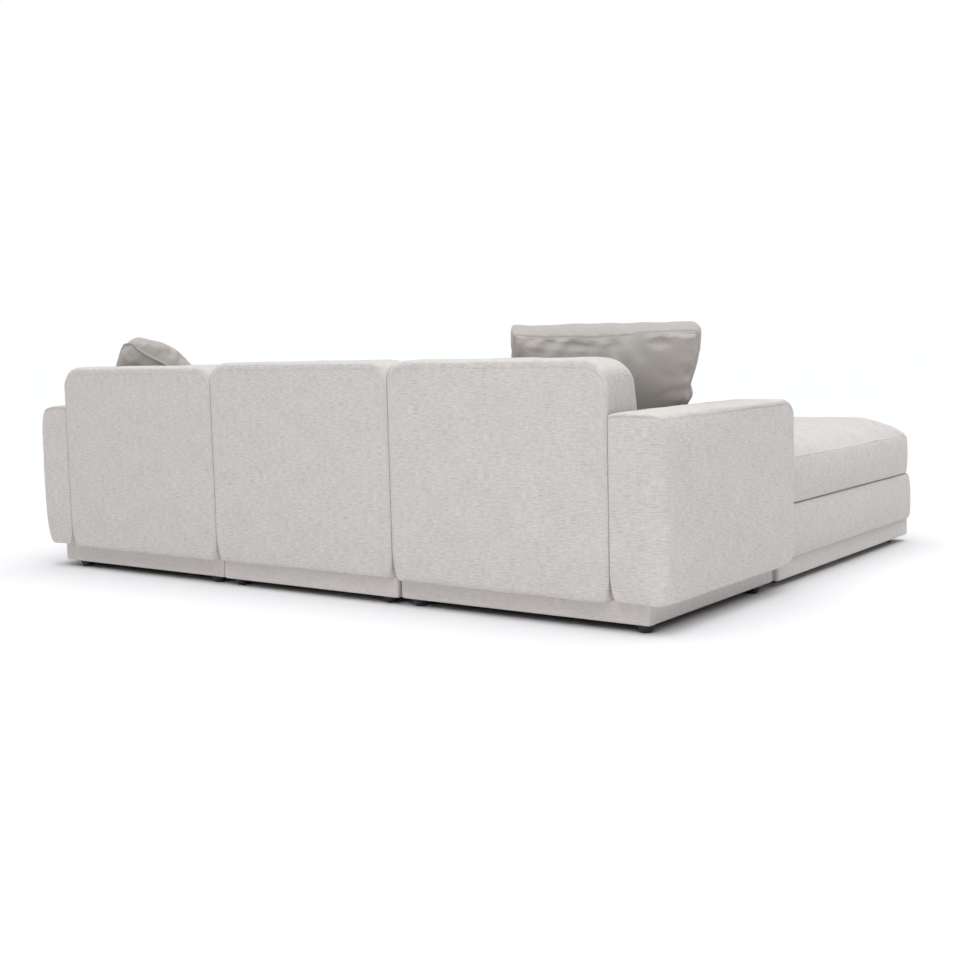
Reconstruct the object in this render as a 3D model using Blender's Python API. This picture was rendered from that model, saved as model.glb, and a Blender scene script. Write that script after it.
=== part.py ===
"""A modular sectional sofa: three seat modules in a row and a long ottoman that makes a chaise.

Metres, +Z up. The sofa faces -Y and stands on z = 0, with the origin at the middle of its footprint.
Left and right are those of a person who stands in front of it and looks at it, so left is -X.
"""

import math

import bmesh
import bpy
from mathutils import Matrix, Vector
from mathutils.bvhtree import BVHTree

# Driving sizes of the row
PANEL_WIDTH = 0.81          # one back panel, side to side
MODULE_GAP = 0.002          # between two modules pushed together
BACK_HEIGHT = 0.79
BACK_FOOT_DEPTH = 0.235     # thickness of a back below the seat
BACK_LEAN = 0.148           # how much thinner a back gets per metre of height
BACK_LEAN_FROM = 0.30       # height where the front of a back starts to lean
BACK_SWELL = 0.012          # how far the front of a back swells above the seat
ARM_WIDTH = 0.182
ARM_BULGE = 0.010
ARM_HEIGHT = 0.632
MODULE_DEPTH = 0.872
OTTOMAN_LENGTH = 1.200
OTTOMAN_SIDE_STEP = 0.043   # the ottoman's side behind the arm's outer side

# Heights of the layers
FOOT_HEIGHT = 0.0257
PLINTH_BOTTOM = 0.026
PLINTH_TOP = 0.0915
DECK_TOP = 0.276
SEAM_HEIGHT = 0.428         # top seam of a seat cushion
SEAT_CROWN = 0.094          # rise of an overstuffed cushion above its seam
CROWN_FULLNESS = 8          # higher is flatter in the middle and steeper at the seam
SIDE_BULGE = 0.010
OTTOMAN_FRONT_BULGE = 0.020
SEAT_FRONT_STEP = 0.012     # seats stand this far behind the front of the arms

# Plinth, dust cover and feet
PLINTH_WALL = 0.045
PLINTH_REAR_STEP = 0.035
PLINTH_SIDE_STEP = 0.071
PLINTH_FRONT_STEP = 0.007
RIGHT_PLINTH_SIDE_STEP = 0.093
OTTOMAN_PLINTH_REACH = 0.014
CORNER_BLOCK = 0.13
PLINTH_ROUND = 0.010
DUST_COVER_THICKNESS = 0.001
DUST_COVER_INSET = 0.030
FOOT_TOP_RADIUS = 0.028
FOOT_BOTTOM_RADIUS = 0.019
FOOT_ROUND = 0.002
FOOT_COLLAR = 0.005
FOOT_SIDES = 14
FOOT_REAR_INSET = 0.032
FOOT_FRONT_INSET = 0.100
FOOT_JOINT_INSET = 0.060
LEFT_FOOT_INSET = 0.032
RIGHT_FOOT_INSET = 0.091
STUD_RADIUS = 0.004
STUD_LENGTH = 0.020
STUD_HOLE_DEPTH = 0.022
STUD_HOLE_RADIUS = 0.0048
STUD_SIDES = 8

# Upholstery and the timber inside it
FIT = 0.0003                # clearance between two pieces that lie against each other
SOFT_FIT = 0.0006           # the same under a loose cushion, which rests on a curved seat
LEAN_FIT = 0.0045           # between a loose cushion and the back or arm that it leans towards
COVER_WALL = 0.022          # foam and fabric outside a seat frame
DECK_THICKNESS = 0.023      # foam and platform cloth over the webbing
RAIL_THICKNESS = 0.025
WEBBING_THICKNESS = 0.002
STRAP_WIDTH = 0.060
STRAPS = 4
STRAP_CLEARANCE = 0.0012
BOARD_THICKNESS = 0.022
BACK_BOARD_SETBACK = 0.060  # from the rear face of a back to its board
BACK_BOARD_MARGIN = 0.060
BACK_BOARD_TOP = 0.690
ARM_BOARD_SETBACK = 0.075   # from the inner face of an arm to its board
ARM_BOARD_MARGIN = 0.085
ARM_BOARD_TOP = 0.540
EDGE_ROUND = 0.012
CUSHION_GAP = 0.004         # between a seat cushion and what stands round it

# Corners drawn in by the sewn covers, as reach along the edge and depth
CORNER_FADE = 0.090         # depth over which the rear corners of a cover fade out
OUTER_CORNER_FADE = 0.320   # the same for the top corners at the two ends of the row
CORNER_SHARES = (0.30, 0.60, 1.0)  # mesh lines over a rounded reach
BACK_TUCK = (0.095, 0.036)
TOP_CORNER = (0.075, 0.060)
BACK_TOP_ROUND = (0.060, 0.045)
BACK_REAR_ROUND = (0.030, 0.012)
INNER_ARM_TUCK = (0.090, 0.030)
LEFT_ARM_TUCK = (0.100, 0.012)
RIGHT_ARM_TUCK = (0.150, 0.045)
ARM_CORNER = (0.045, 0.034)
ARM_NOSE = (0.065, 0.055)
ARM_TOE = (0.055, 0.060)
ARM_TOP_ROUND = (0.035, 0.022)
ARM_SHOULDER = (0.100, 0.030)
SHOULDER_FADE = 0.450       # length over which the shoulder fades out towards the front
ARM_CROWN = 0.006
CUSHION_CORNER = (0.100, 0.030)

# Sectional connectors
CONNECTOR_LENGTH = 0.070
CONNECTOR_REACH = 0.026
JAW_HEIGHT = 0.014
JAW_WALL = 0.003
JAW_SLOT_WIDTH = 0.044
PLATE_THICKNESS = 0.005
TONGUE_CLEARANCE = 0.0003
TIP_CLEARANCE = 0.001
TONGUE_LEAD = 0.004
CONNECTOR_PLACE = 0.45      # from the rear, as a length along the joint

# Loose cushions
BACK_CUSHION_WIDTH = 0.590
BACK_CUSHION_HEIGHT = 0.374
BACK_CUSHION_BAND = 0.105
BACK_CUSHION_CROWN = 0.034
BACK_CUSHION_FULLNESS = 1.0
BACK_CUSHION_CORNER = (0.05, 0.006)
BACK_CUSHION_TURN = 37.0
BACK_CUSHION_LEAN = 17.0
BACK_CUSHION_PLACE = (0.275, 0.440)  # from the left arm and from the rear
PILLOW_SIDE = 0.410
PILLOW_EDGE = 0.012
PILLOW_CROWN = 0.100
PILLOW_FULLNESS = 0.40
PILLOW_CORNER = (0.06, 0.012)
PILLOW_TURN = -19.0
PILLOW_LEAN = 46.5
PILLOW_ROLL = 17.4
PILLOW_PLACE = (0.187, 0.352)  # from the right arm and from the rear
CUSHION_LINES = 5           # mesh lines across the middle of a loose cushion
SAMPLE_CUTS = 6             # how closely contact between soft pieces is looked for

# Derived places
HALF_ROW = 1.5 * PANEL_WIDTH
OTTOMAN_REAR = MODULE_DEPTH + MODULE_GAP
OTTOMAN_FRONT = OTTOMAN_REAR + OTTOMAN_LENGTH
TOTAL_DEPTH = OTTOMAN_FRONT + OTTOMAN_FRONT_BULGE
REAR_Y = TOTAL_DEPTH / 2

DOWN = (0.0, 0.0, -1.0)
REARWARD = (0.0, 1.0, 0.0)
LEFTWARD = (-1.0, 0.0, 0.0)

WOVEN = (0.610, 0.580, 0.545)
SMOOTH = (0.500, 0.470, 0.435)
BLACK = (0.012, 0.012, 0.013)
TIMBER = (0.520, 0.360, 0.210)
WEBBING = (0.050, 0.045, 0.040)
STEEL = (0.450, 0.450, 0.460)


def clear_scene():
    for thing in list(bpy.data.objects):
        bpy.data.objects.remove(thing, do_unlink=True)


def material(name, colour, roughness, metallic=0.0):
    found = bpy.data.materials.new(name)
    found.use_nodes = True
    shader = found.node_tree.nodes["Principled BSDF"]
    shader.inputs["Base Color"].default_value = (*colour, 1.0)
    shader.inputs["Roughness"].default_value = roughness
    shader.inputs["Metallic"].default_value = metallic
    return found


def add_object(name, bm, colour, roughness=0.9, metallic=0.0, smooth=True):
    """Makes a named object of a bmesh and frees the bmesh."""
    bmesh.ops.recalc_face_normals(bm, faces=bm.faces)
    mesh = bpy.data.meshes.new(name)
    bm.to_mesh(mesh)
    bm.free()
    if smooth:
        mesh.shade_smooth()
        mesh.set_sharp_from_angle(angle=math.radians(35))
    made = bpy.data.objects.new(name, mesh)
    bpy.context.scene.collection.objects.link(made)
    mesh.materials.append(material(name, colour, roughness, metallic))
    return made


def row_x(along):
    """World x of a place counted from the right end of the right back panel towards the left."""
    return HALF_ROW - along


def row_y(depth):
    """World y of a place counted from the rear plane of the backs towards the front."""
    return REAR_Y - depth


def draw_in(distance, corner):
    """How far an elliptical corner (reach, depth) stands back at a distance from the edge."""
    reach, depth = corner
    part = min(max((reach - distance) / reach, 0.0), 1.0)
    return depth * (1.0 - math.sqrt(1.0 - part * part))


def stations(low, high, low_reach, high_reach, middle, edge=EDGE_ROUND):
    """Places of the mesh lines from low to high, closer together over the two rounded reaches."""
    found = [low, low + edge]
    if low_reach > 2 * edge:
        found += [low + low_reach * part for part in CORNER_SHARES]
    start = found[-1]
    tail = [high - edge, high]
    if high_reach > 2 * edge:
        tail = [high - high_reach * part for part in reversed(CORNER_SHARES)] + tail
    step = (tail[0] - start) / (middle + 1)
    found += [start + step * (count + 1) for count in range(middle)]
    return found + tail


def lattice_shell(xs, ys, zs, shape):
    """The closed skin of a block of mesh lines, each point moved by shape(point)."""
    bm = bmesh.new()
    lines = (xs, ys, zs)
    last = [len(line) - 1 for line in lines]
    made = {}

    def vertex(key):
        if key not in made:
            made[key] = bm.verts.new(shape(Vector([lines[axis][key[axis]] for axis in range(3)])))
        return made[key]

    for axis in range(3):
        one, two = (axis + 1) % 3, (axis + 2) % 3
        for level in (0, last[axis]):
            for i in range(last[one]):
                for j in range(last[two]):
                    corners = []
                    for a, b in ((i, j), (i + 1, j), (i + 1, j + 1), (i, j + 1)):
                        key = [0, 0, 0]
                        key[axis], key[one], key[two] = level, a, b
                        corners.append(vertex(tuple(key)))
                    bm.faces.new(corners)
    bmesh.ops.triangulate(bm, faces=bm.faces)
    return bm


def rounded(point, low, high, edge=EDGE_ROUND):
    """The point on the block's skin moved onto an edge rounding, with the outward direction there."""
    inner = Vector([min(max(point[a], low[a] + edge), high[a] - edge) for a in range(3)])
    away = (point - inner) / edge
    if away.length > 1.0:
        away.normalize()
    return inner + away * edge, away


def bulged(point, away, low, high, bulge):
    """The point pushed out along each face's own direction, most at the middle of the face."""
    span = [2.0 * (point[a] - low[a]) / (high[a] - low[a]) - 1.0 for a in range(3)]
    fall = [max(1.0 - span[a] * span[a], 0.0) for a in range(3)]
    moved = point.copy()
    for axis in range(3):
        side = 1 if away[axis] > 0 else 0
        weight = abs(away[axis]) * fall[(axis + 1) % 3] * fall[(axis + 2) % 3]
        moved[axis] += math.copysign(bulge[axis][side] * weight, away[axis])
    return moved


def padded_block(low, high, lines, bulge, warp=None):
    """A soft block: edges rounded, faces bulged, then its corners drawn in by warp(point)."""

    def shape(point):
        point, away = rounded(point, low, high)
        point = bulged(point, away, low, high, bulge)
        return warp(point) if warp else point

    return lattice_shell(*lines, shape)


def box_shell(low, high):
    bm = bmesh.new()
    bmesh.ops.create_cube(bm, size=1.0)
    middle = [(low[a] + high[a]) / 2 for a in range(3)]
    size = [high[a] - low[a] for a in range(3)]
    bm.transform(Matrix.Translation(middle) @ Matrix.Diagonal((*size, 1.0)))
    return bm


def outline_prism(outline, bottom, top):
    """A straight prism over a plan outline."""
    bm = bmesh.new()
    base = bm.faces.new([bm.verts.new((x, y, bottom)) for x, y in outline])
    grown = bmesh.ops.extrude_face_region(bm, geom=[base])
    for item in grown["geom"]:
        if isinstance(item, bmesh.types.BMVert):
            item.co.z = top
    bmesh.ops.recalc_face_normals(bm, faces=bm.faces)
    return bm


def cylinder(centre, radius, bottom, top, sides):
    bm = bmesh.new()
    bmesh.ops.create_cone(
        bm, cap_ends=True, segments=sides, radius1=radius, radius2=radius, depth=top - bottom
    )
    bm.transform(Matrix.Translation((centre[0], centre[1], (top + bottom) / 2)))
    return bm


def cut(target, cutter_bm):
    """Takes a shape out of an object. The cutter stays as a hidden guide."""
    cutter = add_object(target.name + "_cutter", cutter_bm, BLACK, smooth=False)
    cutter.hide_render = True
    cutter.display_type = "WIRE"
    boolean = target.modifiers.new("cut", "BOOLEAN")
    boolean.operation = "DIFFERENCE"
    boolean.solver = "EXACT"
    boolean.object = cutter


class Module:
    """The plan of one module. Places run from the right end of the row and from its rear plane."""

    def __init__(self, name, start, end, arm=None):
        self.name = name
        self.start = start + MODULE_GAP / 2
        self.end = end - MODULE_GAP / 2
        self.arm = arm
        self.rear = 0.0
        self.front = MODULE_DEPTH - SEAT_FRONT_STEP
        self.plinth_rear = PLINTH_REAR_STEP
        self.plinth_front = MODULE_DEPTH - PLINTH_FRONT_STEP
        self.plinth_start = self.start
        self.plinth_end = self.end
        if arm == "right":
            self.plinth_start = start - ARM_WIDTH + RIGHT_PLINTH_SIDE_STEP
        if arm == "left":
            self.plinth_end = end + ARM_WIDTH - PLINTH_SIDE_STEP
        self.seat_rear = BACK_FOOT_DEPTH + FIT
        self.rear_foot = FOOT_REAR_INSET

    def feet(self):
        """Foot names with their centres in the plan."""
        start_inset = RIGHT_FOOT_INSET if self.arm == "right" else FOOT_JOINT_INSET
        end_inset = LEFT_FOOT_INSET if self.arm == "left" else FOOT_JOINT_INSET
        right = self.plinth_start + start_inset
        left = self.plinth_end - end_inset
        rear = self.plinth_rear + self.rear_foot
        front = self.plinth_front - FOOT_FRONT_INSET
        return {
            "rear_left_foot": (left, rear),
            "rear_right_foot": (right, rear),
            "front_left_foot": (left, front),
            "front_right_foot": (right, front),
        }


def ottoman_plan():
    """The ottoman stands in front of the left module, its plinth in line with that module's."""
    outer = 3 * PANEL_WIDTH + ARM_WIDTH
    plan = Module("ottoman", 2 * PANEL_WIDTH, outer)
    plan.end = outer - OTTOMAN_SIDE_STEP
    plan.rear = OTTOMAN_REAR
    plan.front = OTTOMAN_FRONT
    plan.plinth_rear = plan.rear + FIT
    plan.plinth_front = plan.front + OTTOMAN_PLINTH_REACH
    plan.plinth_end = outer - PLINTH_SIDE_STEP
    plan.seat_rear = plan.rear
    plan.rear_foot = FOOT_FRONT_INSET
    return plan


def chamfered_rectangle(x0, x1, y0, y1, corner):
    return [
        (x0 + corner, y0), (x1 - corner, y0), (x1, y0 + corner), (x1, y1 - corner),
        (x1 - corner, y1), (x0 + corner, y1), (x0, y1 - corner), (x0, y0 + corner),
    ]


def plinth(plan):
    """The fabric wrapped base: four rails with corner blocks, open above and below."""
    x0, x1 = row_x(plan.plinth_end), row_x(plan.plinth_start)
    y0, y1 = row_y(plan.plinth_front), row_y(plan.plinth_rear)
    low, high = (x0, y0, PLINTH_BOTTOM), (x1, y1, PLINTH_TOP)
    edge = PLINTH_ROUND
    lines = [[low[a], low[a] + edge, high[a] - edge, high[a]] for a in range(3)]
    lines[2] = lines[2][:2] + [high[2]]

    def shape(point):
        flat_top = Vector(high) + Vector((0.0, 0.0, edge))
        return rounded(point, low, flat_top, edge)[0]

    made = add_object(plan.name + "_plinth", lattice_shell(*lines, shape), WOVEN)
    wall = PLINTH_WALL
    inner = chamfered_rectangle(x0 + wall, x1 - wall, y0 + wall, y1 - wall, CORNER_BLOCK - wall)
    cutter = outline_prism(inner, PLINTH_BOTTOM - wall, PLINTH_TOP + wall)
    holes = [cutter]
    for along, depth in plan.feet().values():
        centre = (row_x(along), row_y(depth))
        top = PLINTH_BOTTOM + STUD_HOLE_DEPTH
        holes.append(cylinder(centre, STUD_HOLE_RADIUS, PLINTH_BOTTOM - wall, top, STUD_SIDES))
    cut(made, joined(holes))
    return made


def joined(parts):
    """One bmesh with the shapes of several, which do not touch one another."""
    whole = parts[0]
    for part in parts[1:]:
        mesh = bpy.data.meshes.new("joined")
        part.to_mesh(mesh)
        part.free()
        whole.from_mesh(mesh)
        bpy.data.meshes.remove(mesh)
    return whole


def foot(name, centre):
    """A turned plastic foot: a collar, a taper to the floor and the stud that screws it in."""
    top = FOOT_HEIGHT
    profile = [
        (0.0, 0.0),
        (FOOT_BOTTOM_RADIUS - FOOT_ROUND, 0.0),
        (FOOT_BOTTOM_RADIUS, FOOT_ROUND),
        (FOOT_TOP_RADIUS, top - FOOT_COLLAR),
        (FOOT_TOP_RADIUS, top),
        (STUD_RADIUS, top),
        (STUD_RADIUS, top + STUD_LENGTH),
        (0.0, top + STUD_LENGTH),
    ]
    bm = bmesh.new()
    rings = []
    for radius, height in profile:
        if radius == 0.0:
            rings.append([bm.verts.new((0.0, 0.0, height))])
            continue
        turn = [math.tau * step / FOOT_SIDES for step in range(FOOT_SIDES)]
        rings.append([bm.verts.new((radius * math.cos(a), radius * math.sin(a), height)) for a in turn])
    for below, above in zip(rings, rings[1:]):
        for step in range(FOOT_SIDES):
            after = (step + 1) % FOOT_SIDES
            if len(below) == 1:
                bm.faces.new((below[0], above[after], above[step]))
            elif len(above) == 1:
                bm.faces.new((below[step], below[after], above[0]))
            else:
                bm.faces.new((below[step], below[after], above[after], above[step]))
    made = add_object(name, bm, BLACK, roughness=0.45)
    made.location = (row_x(centre[0]), row_y(centre[1]), 0.0)
    return made


def dust_cover(plan):
    """The black cloth stapled under the plinth, cut out round the feet."""
    inset = DUST_COVER_INSET
    x0, x1 = row_x(plan.plinth_end) + inset, row_x(plan.plinth_start) - inset
    y0, y1 = row_y(plan.plinth_front) + inset, row_y(plan.plinth_rear) - inset
    top = PLINTH_BOTTOM - FIT
    bottom = top - DUST_COVER_THICKNESS
    made = add_object(plan.name + "_dust_cover", box_shell((x0, y0, bottom), (x1, y1, top)), BLACK)
    notches = []
    for along, depth in plan.feet().values():
        centre = (row_x(along), row_y(depth))
        radius = FOOT_TOP_RADIUS + FOOT_ROUND
        notches.append(cylinder(centre, radius, 0.0, PLINTH_TOP, FOOT_SIDES))
    cut(made, joined(notches))
    return made


def seat_box(plan):
    """Plan corners of a seat module's upholstered base, in front of its back."""
    x0, x1 = row_x(plan.end), row_x(plan.start)
    if plan.arm == "right":
        x1 = row_x(0.0) - FIT
    if plan.arm == "left":
        x0 = row_x(3 * PANEL_WIDTH) + FIT
    return x0, x1, row_y(plan.front), row_y(plan.seat_rear)


def seat_pocket(plan):
    """The space for the frame inside the base: its plan corners and the underside of the deck."""
    x0, x1, y0, y1 = seat_box(plan)
    wall = COVER_WALL
    return x0 + wall, x1 - wall, y0 + wall, y1 - wall, DECK_TOP - DECK_THICKNESS


def seat_base(plan):
    """The upholstered box under a seat cushion: padded walls and a deck, open underneath."""
    x0, x1, y0, y1 = seat_box(plan)
    bottom = PLINTH_TOP + FIT
    low, high = (x0, y0, bottom), (x1, y1, DECK_TOP)
    lines = (
        stations(x0, x1, 0, 0, 5),
        stations(y0, y1, 0, 0, 5),
        stations(bottom, DECK_TOP, 0, 0, 3),
    )
    ottoman = plan.name == "ottoman"
    front = OTTOMAN_FRONT_BULGE if ottoman else SIDE_BULGE
    outer = SIDE_BULGE if ottoman else 0.0
    bulge = ((outer, 0.0), (front, 0.0), (0.0, 0.0))
    made = add_object(plan.name + "_seat_base", padded_block(low, high, lines, bulge), WOVEN)
    px0, px1, py0, py1, top = seat_pocket(plan)
    cut(made, box_shell((px0, py0, bottom - COVER_WALL), (px1, py1, top)))
    return made


def seat_frame(plan):
    """The timber frame that carries the webbing: four rails with corner blocks."""
    x0, x1, y0, y1, ceiling = seat_pocket(plan)
    x0, x1, y0, y1 = x0 + FIT, x1 - FIT, y0 + FIT, y1 - FIT
    bottom = PLINTH_TOP + FIT
    top = ceiling - WEBBING_THICKNESS - 2 * FIT
    made = add_object(
        plan.name + "_seat_frame", box_shell((x0, y0, bottom), (x1, y1, top)), TIMBER, 0.7, smooth=False
    )
    rail = RAIL_THICKNESS
    inner = chamfered_rectangle(x0 + rail, x1 - rail, y0 + rail, y1 - rail, 2 * rail)
    cut(made, outline_prism(inner, bottom - rail, top + rail))
    return made


def webbing(plan):
    """Elastic straps woven across the frame both ways, as one sheet with square holes."""
    x0, x1, y0, y1, ceiling = seat_pocket(plan)
    top = ceiling - FIT
    bottom = top - WEBBING_THICKNESS

    def strap_lines(low, high):
        low, high = low + STRAP_CLEARANCE, high - STRAP_CLEARANCE
        gap = (high - low - STRAPS * STRAP_WIDTH) / (STRAPS - 1)
        lines = []
        for count in range(STRAPS):
            start = low + count * (STRAP_WIDTH + gap)
            lines += [start, start + STRAP_WIDTH]
        return lines

    xs, ys = strap_lines(x0, x1), strap_lines(y0, y1)
    bm = bmesh.new()
    grid = [[bm.verts.new((x, y, bottom)) for y in ys] for x in xs]
    for i in range(len(xs) - 1):
        for j in range(len(ys) - 1):
            if i % 2 and j % 2:
                continue
            bm.faces.new((grid[i][j], grid[i + 1][j], grid[i + 1][j + 1], grid[i][j + 1]))
    sheet = list(bm.faces)
    grown = bmesh.ops.extrude_face_region(bm, geom=sheet)
    for item in grown["geom"]:
        if isinstance(item, bmesh.types.BMVert):
            item.co.z = top
    return add_object(plan.name + "_webbing", bm, WEBBING, smooth=False)


def cushion_box(plan):
    x0, x1, y0, y1 = seat_box(plan)
    gap = CUSHION_GAP
    if plan.name == "ottoman":
        return x0, x1 - gap, y0, y1 - gap
    return x0 + gap, x1 - gap, y0, y1 - gap


def crown_height(plan, x, y):
    """Height of a seat cushion's top over a place in the plan."""
    x0, x1, y0, y1 = cushion_box(plan)
    across = min(abs(2 * (x - x0) / (x1 - x0) - 1), 1.0)
    along = min(abs(2 * (y - y0) / (y1 - y0) - 1), 1.0)
    return SEAM_HEIGHT + SEAT_CROWN * (1 - across ** CROWN_FULLNESS) * (1 - along ** CROWN_FULLNESS)


def seat_cushion(plan):
    """A boxed cushion: crowned top, sides that swell between the seams, corners drawn in."""
    x0, x1, y0, y1 = cushion_box(plan)
    bottom = DECK_TOP + FIT
    low, high = Vector((x0, y0, bottom)), Vector((x1, y1, SEAM_HEIGHT))
    centre = (low + high) / 2
    reach = CUSHION_CORNER[0]
    lines = (
        stations(x0, x1, reach, reach, 3),
        stations(y0, y1, reach, reach, 3),
        stations(bottom, SEAM_HEIGHT, 0, 0, 2),
    )
    outer = SIDE_BULGE if plan.name == "ottoman" else 0.0
    bulge = ((outer, 0.0), (SIDE_BULGE, 0.0), (0.0, 0.0))

    def warp(point):
        if point.z > centre.z:
            rise = crown_height(plan, point.x, point.y) - SEAM_HEIGHT
            point.z += rise * (point.z - centre.z) / (high.z - centre.z)
        to_side = max(min(point.x - x0, x1 - point.x), 0.0)
        to_end = max(min(point.y - y0, y1 - point.y), 0.0)
        near_end = max(1 - to_end / reach, 0.0)
        point.y += math.copysign(draw_in(to_side, CUSHION_CORNER) * near_end, centre.y - point.y)
        return point

    return add_object(plan.name + "_seat_cushion", padded_block(low, high, lines, bulge, warp), WOVEN)


def back_thickness(height):
    return BACK_FOOT_DEPTH - BACK_LEAN * max(height - BACK_LEAN_FROM, 0.0)


def back(plan, first_panel):
    """An upholstered back: upright behind, leaning in front, corners drawn in by the cover."""
    x0 = row_x(first_panel * PANEL_WIDTH + PANEL_WIDTH) + MODULE_GAP / 2
    x1 = row_x(first_panel * PANEL_WIDTH) - MODULE_GAP / 2
    y0, y1 = row_y(BACK_FOOT_DEPTH), row_y(0.0)
    bottom = PLINTH_TOP + FIT
    low, high = (x0, y0, bottom), (x1, y1, BACK_HEIGHT)
    middle = (x0 + x1) / 2
    half = (x1 - x0) / 2
    lines = (
        stations(x0, x1, TOP_CORNER[0], TOP_CORNER[0], 3),
        stations(y0, y1, BACK_TOP_ROUND[0], CORNER_FADE, 0),
        stations(bottom, BACK_HEIGHT, BACK_TUCK[0], TOP_CORNER[0], 3),
    )
    flat = ((0.0, 0.0), (0.0, 0.0), (0.0, 0.0))
    end_side = {"right": 1, "left": -1}.get(plan.arm, 0)

    def warp(point):
        height = point.z
        behind = (y1 - point.y) / (y1 - y0)
        above_seat = max(height - SEAM_HEIGHT, 0.0) / (BACK_HEIGHT - SEAM_HEIGHT)
        across = (point.x - middle) / half
        swell = BACK_SWELL * 4 * above_seat * (1 - above_seat) * (1 - across * across)
        point.y = y1 - behind * (back_thickness(height) + swell)
        to_rear = max(y1 - point.y, 0.0)
        fade = max(1 - to_rear / CORNER_FADE, 0.0)
        top_reach = OUTER_CORNER_FADE if (point.x - middle) * end_side > 0 else CORNER_FADE
        top_fade = max(1 - to_rear / top_reach, 0.0)
        tuck = draw_in(height - bottom, BACK_TUCK) * fade
        to_side = max(half - abs(point.x - middle), 0.0)
        point.x = middle + (point.x - middle) * (half - tuck) / half
        share = max((height - BACK_LEAN_FROM) / (BACK_HEIGHT - BACK_LEAN_FROM), 0.0)
        point.z -= draw_in(to_side, TOP_CORNER) * share * top_fade
        to_front = max(point.y - (y1 - back_thickness(height)), 0.0)
        point.z -= draw_in(to_front, BACK_TOP_ROUND) * share
        point.z -= draw_in(to_rear, BACK_REAR_ROUND) * share
        return point

    made = add_object(plan.name + "_back", padded_block(low, high, lines, flat, warp), WOVEN)
    bx0, bx1 = x0 + BACK_BOARD_MARGIN, x1 - BACK_BOARD_MARGIN
    by1 = row_y(BACK_BOARD_SETBACK)
    by0 = by1 - BOARD_THICKNESS
    cut(made, box_shell((bx0, by0, bottom - COVER_WALL), (bx1, by1, BACK_BOARD_TOP)))
    board = ((bx0 + FIT, by0 + FIT, bottom), (bx1 - FIT, by1 - FIT, BACK_BOARD_TOP - FIT))
    add_object(plan.name + "_back_board", box_shell(*board), TIMBER, 0.7, smooth=False)
    return made


def arm(plan):
    """An upholstered arm: flat inside, swelling outside, with round corners drawn in below."""
    side = -1.0 if plan.arm == "left" else 1.0
    inner = row_x(3 * PANEL_WIDTH) if plan.arm == "left" else row_x(0.0)
    outer = inner + side * ARM_WIDTH
    x0, x1 = min(inner, outer), max(inner, outer)
    y0, y1 = row_y(MODULE_DEPTH), row_y(0.0)
    bottom = PLINTH_TOP + FIT
    low, high = (x0, y0, bottom), (x1, y1, ARM_HEIGHT)
    outer_tuck = LEFT_ARM_TUCK if plan.arm == "left" else RIGHT_ARM_TUCK
    outer_reach = ARM_CORNER[0]
    reaches = (outer_reach, 0) if plan.arm == "left" else (0, outer_reach)
    lines = (
        stations(x0, x1, *reaches, 1),
        stations(y0, y1, ARM_NOSE[0], CORNER_FADE, 3),
        stations(bottom, ARM_HEIGHT, outer_tuck[0], ARM_NOSE[0], 2),
    )
    swell = ARM_BULGE
    bulge = (((swell, 0.0) if plan.arm == "left" else (0.0, swell)), (0.0, 0.0), (0.0, ARM_CROWN))

    def warp(point):
        height = point.z - bottom
        from_inner = max((point.x - inner) / (outer - inner), 0.0)
        to_outer = max(1.0 - from_inner, 0.0) * ARM_WIDTH
        to_rear, to_front = max(y1 - point.y, 0.0), max(point.y - y0, 0.0)
        behind = max(1 - to_rear / CORNER_FADE, 0.0)
        shoulder = max(1 - to_rear / SHOULDER_FADE, 0.0)
        ahead = max(1 - to_front / MODULE_DEPTH, 0.0)
        rise = height / (ARM_HEIGHT - bottom)
        point.x -= side * draw_in(height, outer_tuck) * from_inner * behind
        point.x -= side * draw_in(ARM_HEIGHT - point.z, ARM_SHOULDER) * from_inner * shoulder
        point.x += side * draw_in(height, INNER_ARM_TUCK) * (1 - min(from_inner, 1.0)) * behind
        point.y -= draw_in(to_outer, ARM_CORNER) * behind
        point.y += draw_in(height, ARM_TOE) * ahead
        point.z -= draw_in(to_front, ARM_NOSE) * rise
        point.z -= draw_in(to_outer, ARM_TOP_ROUND) * rise
        return point

    made = add_object(plan.name + "_arm", padded_block(low, high, lines, bulge, warp), WOVEN)
    near = inner + side * ARM_BOARD_SETBACK
    far = near + side * BOARD_THICKNESS
    bx0, bx1 = min(near, far), max(near, far)
    by0, by1 = y0 + ARM_BOARD_MARGIN, y1 - ARM_BOARD_MARGIN
    cut(made, box_shell((bx0, by0, bottom - COVER_WALL), (bx1, by1, ARM_BOARD_TOP)))
    board = ((bx0 + FIT, by0 + FIT, bottom), (bx1 - FIT, by1 - FIT, ARM_BOARD_TOP - FIT))
    add_object(plan.name + "_arm_board", box_shell(*board), TIMBER, 0.7, smooth=False)
    return made


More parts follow.
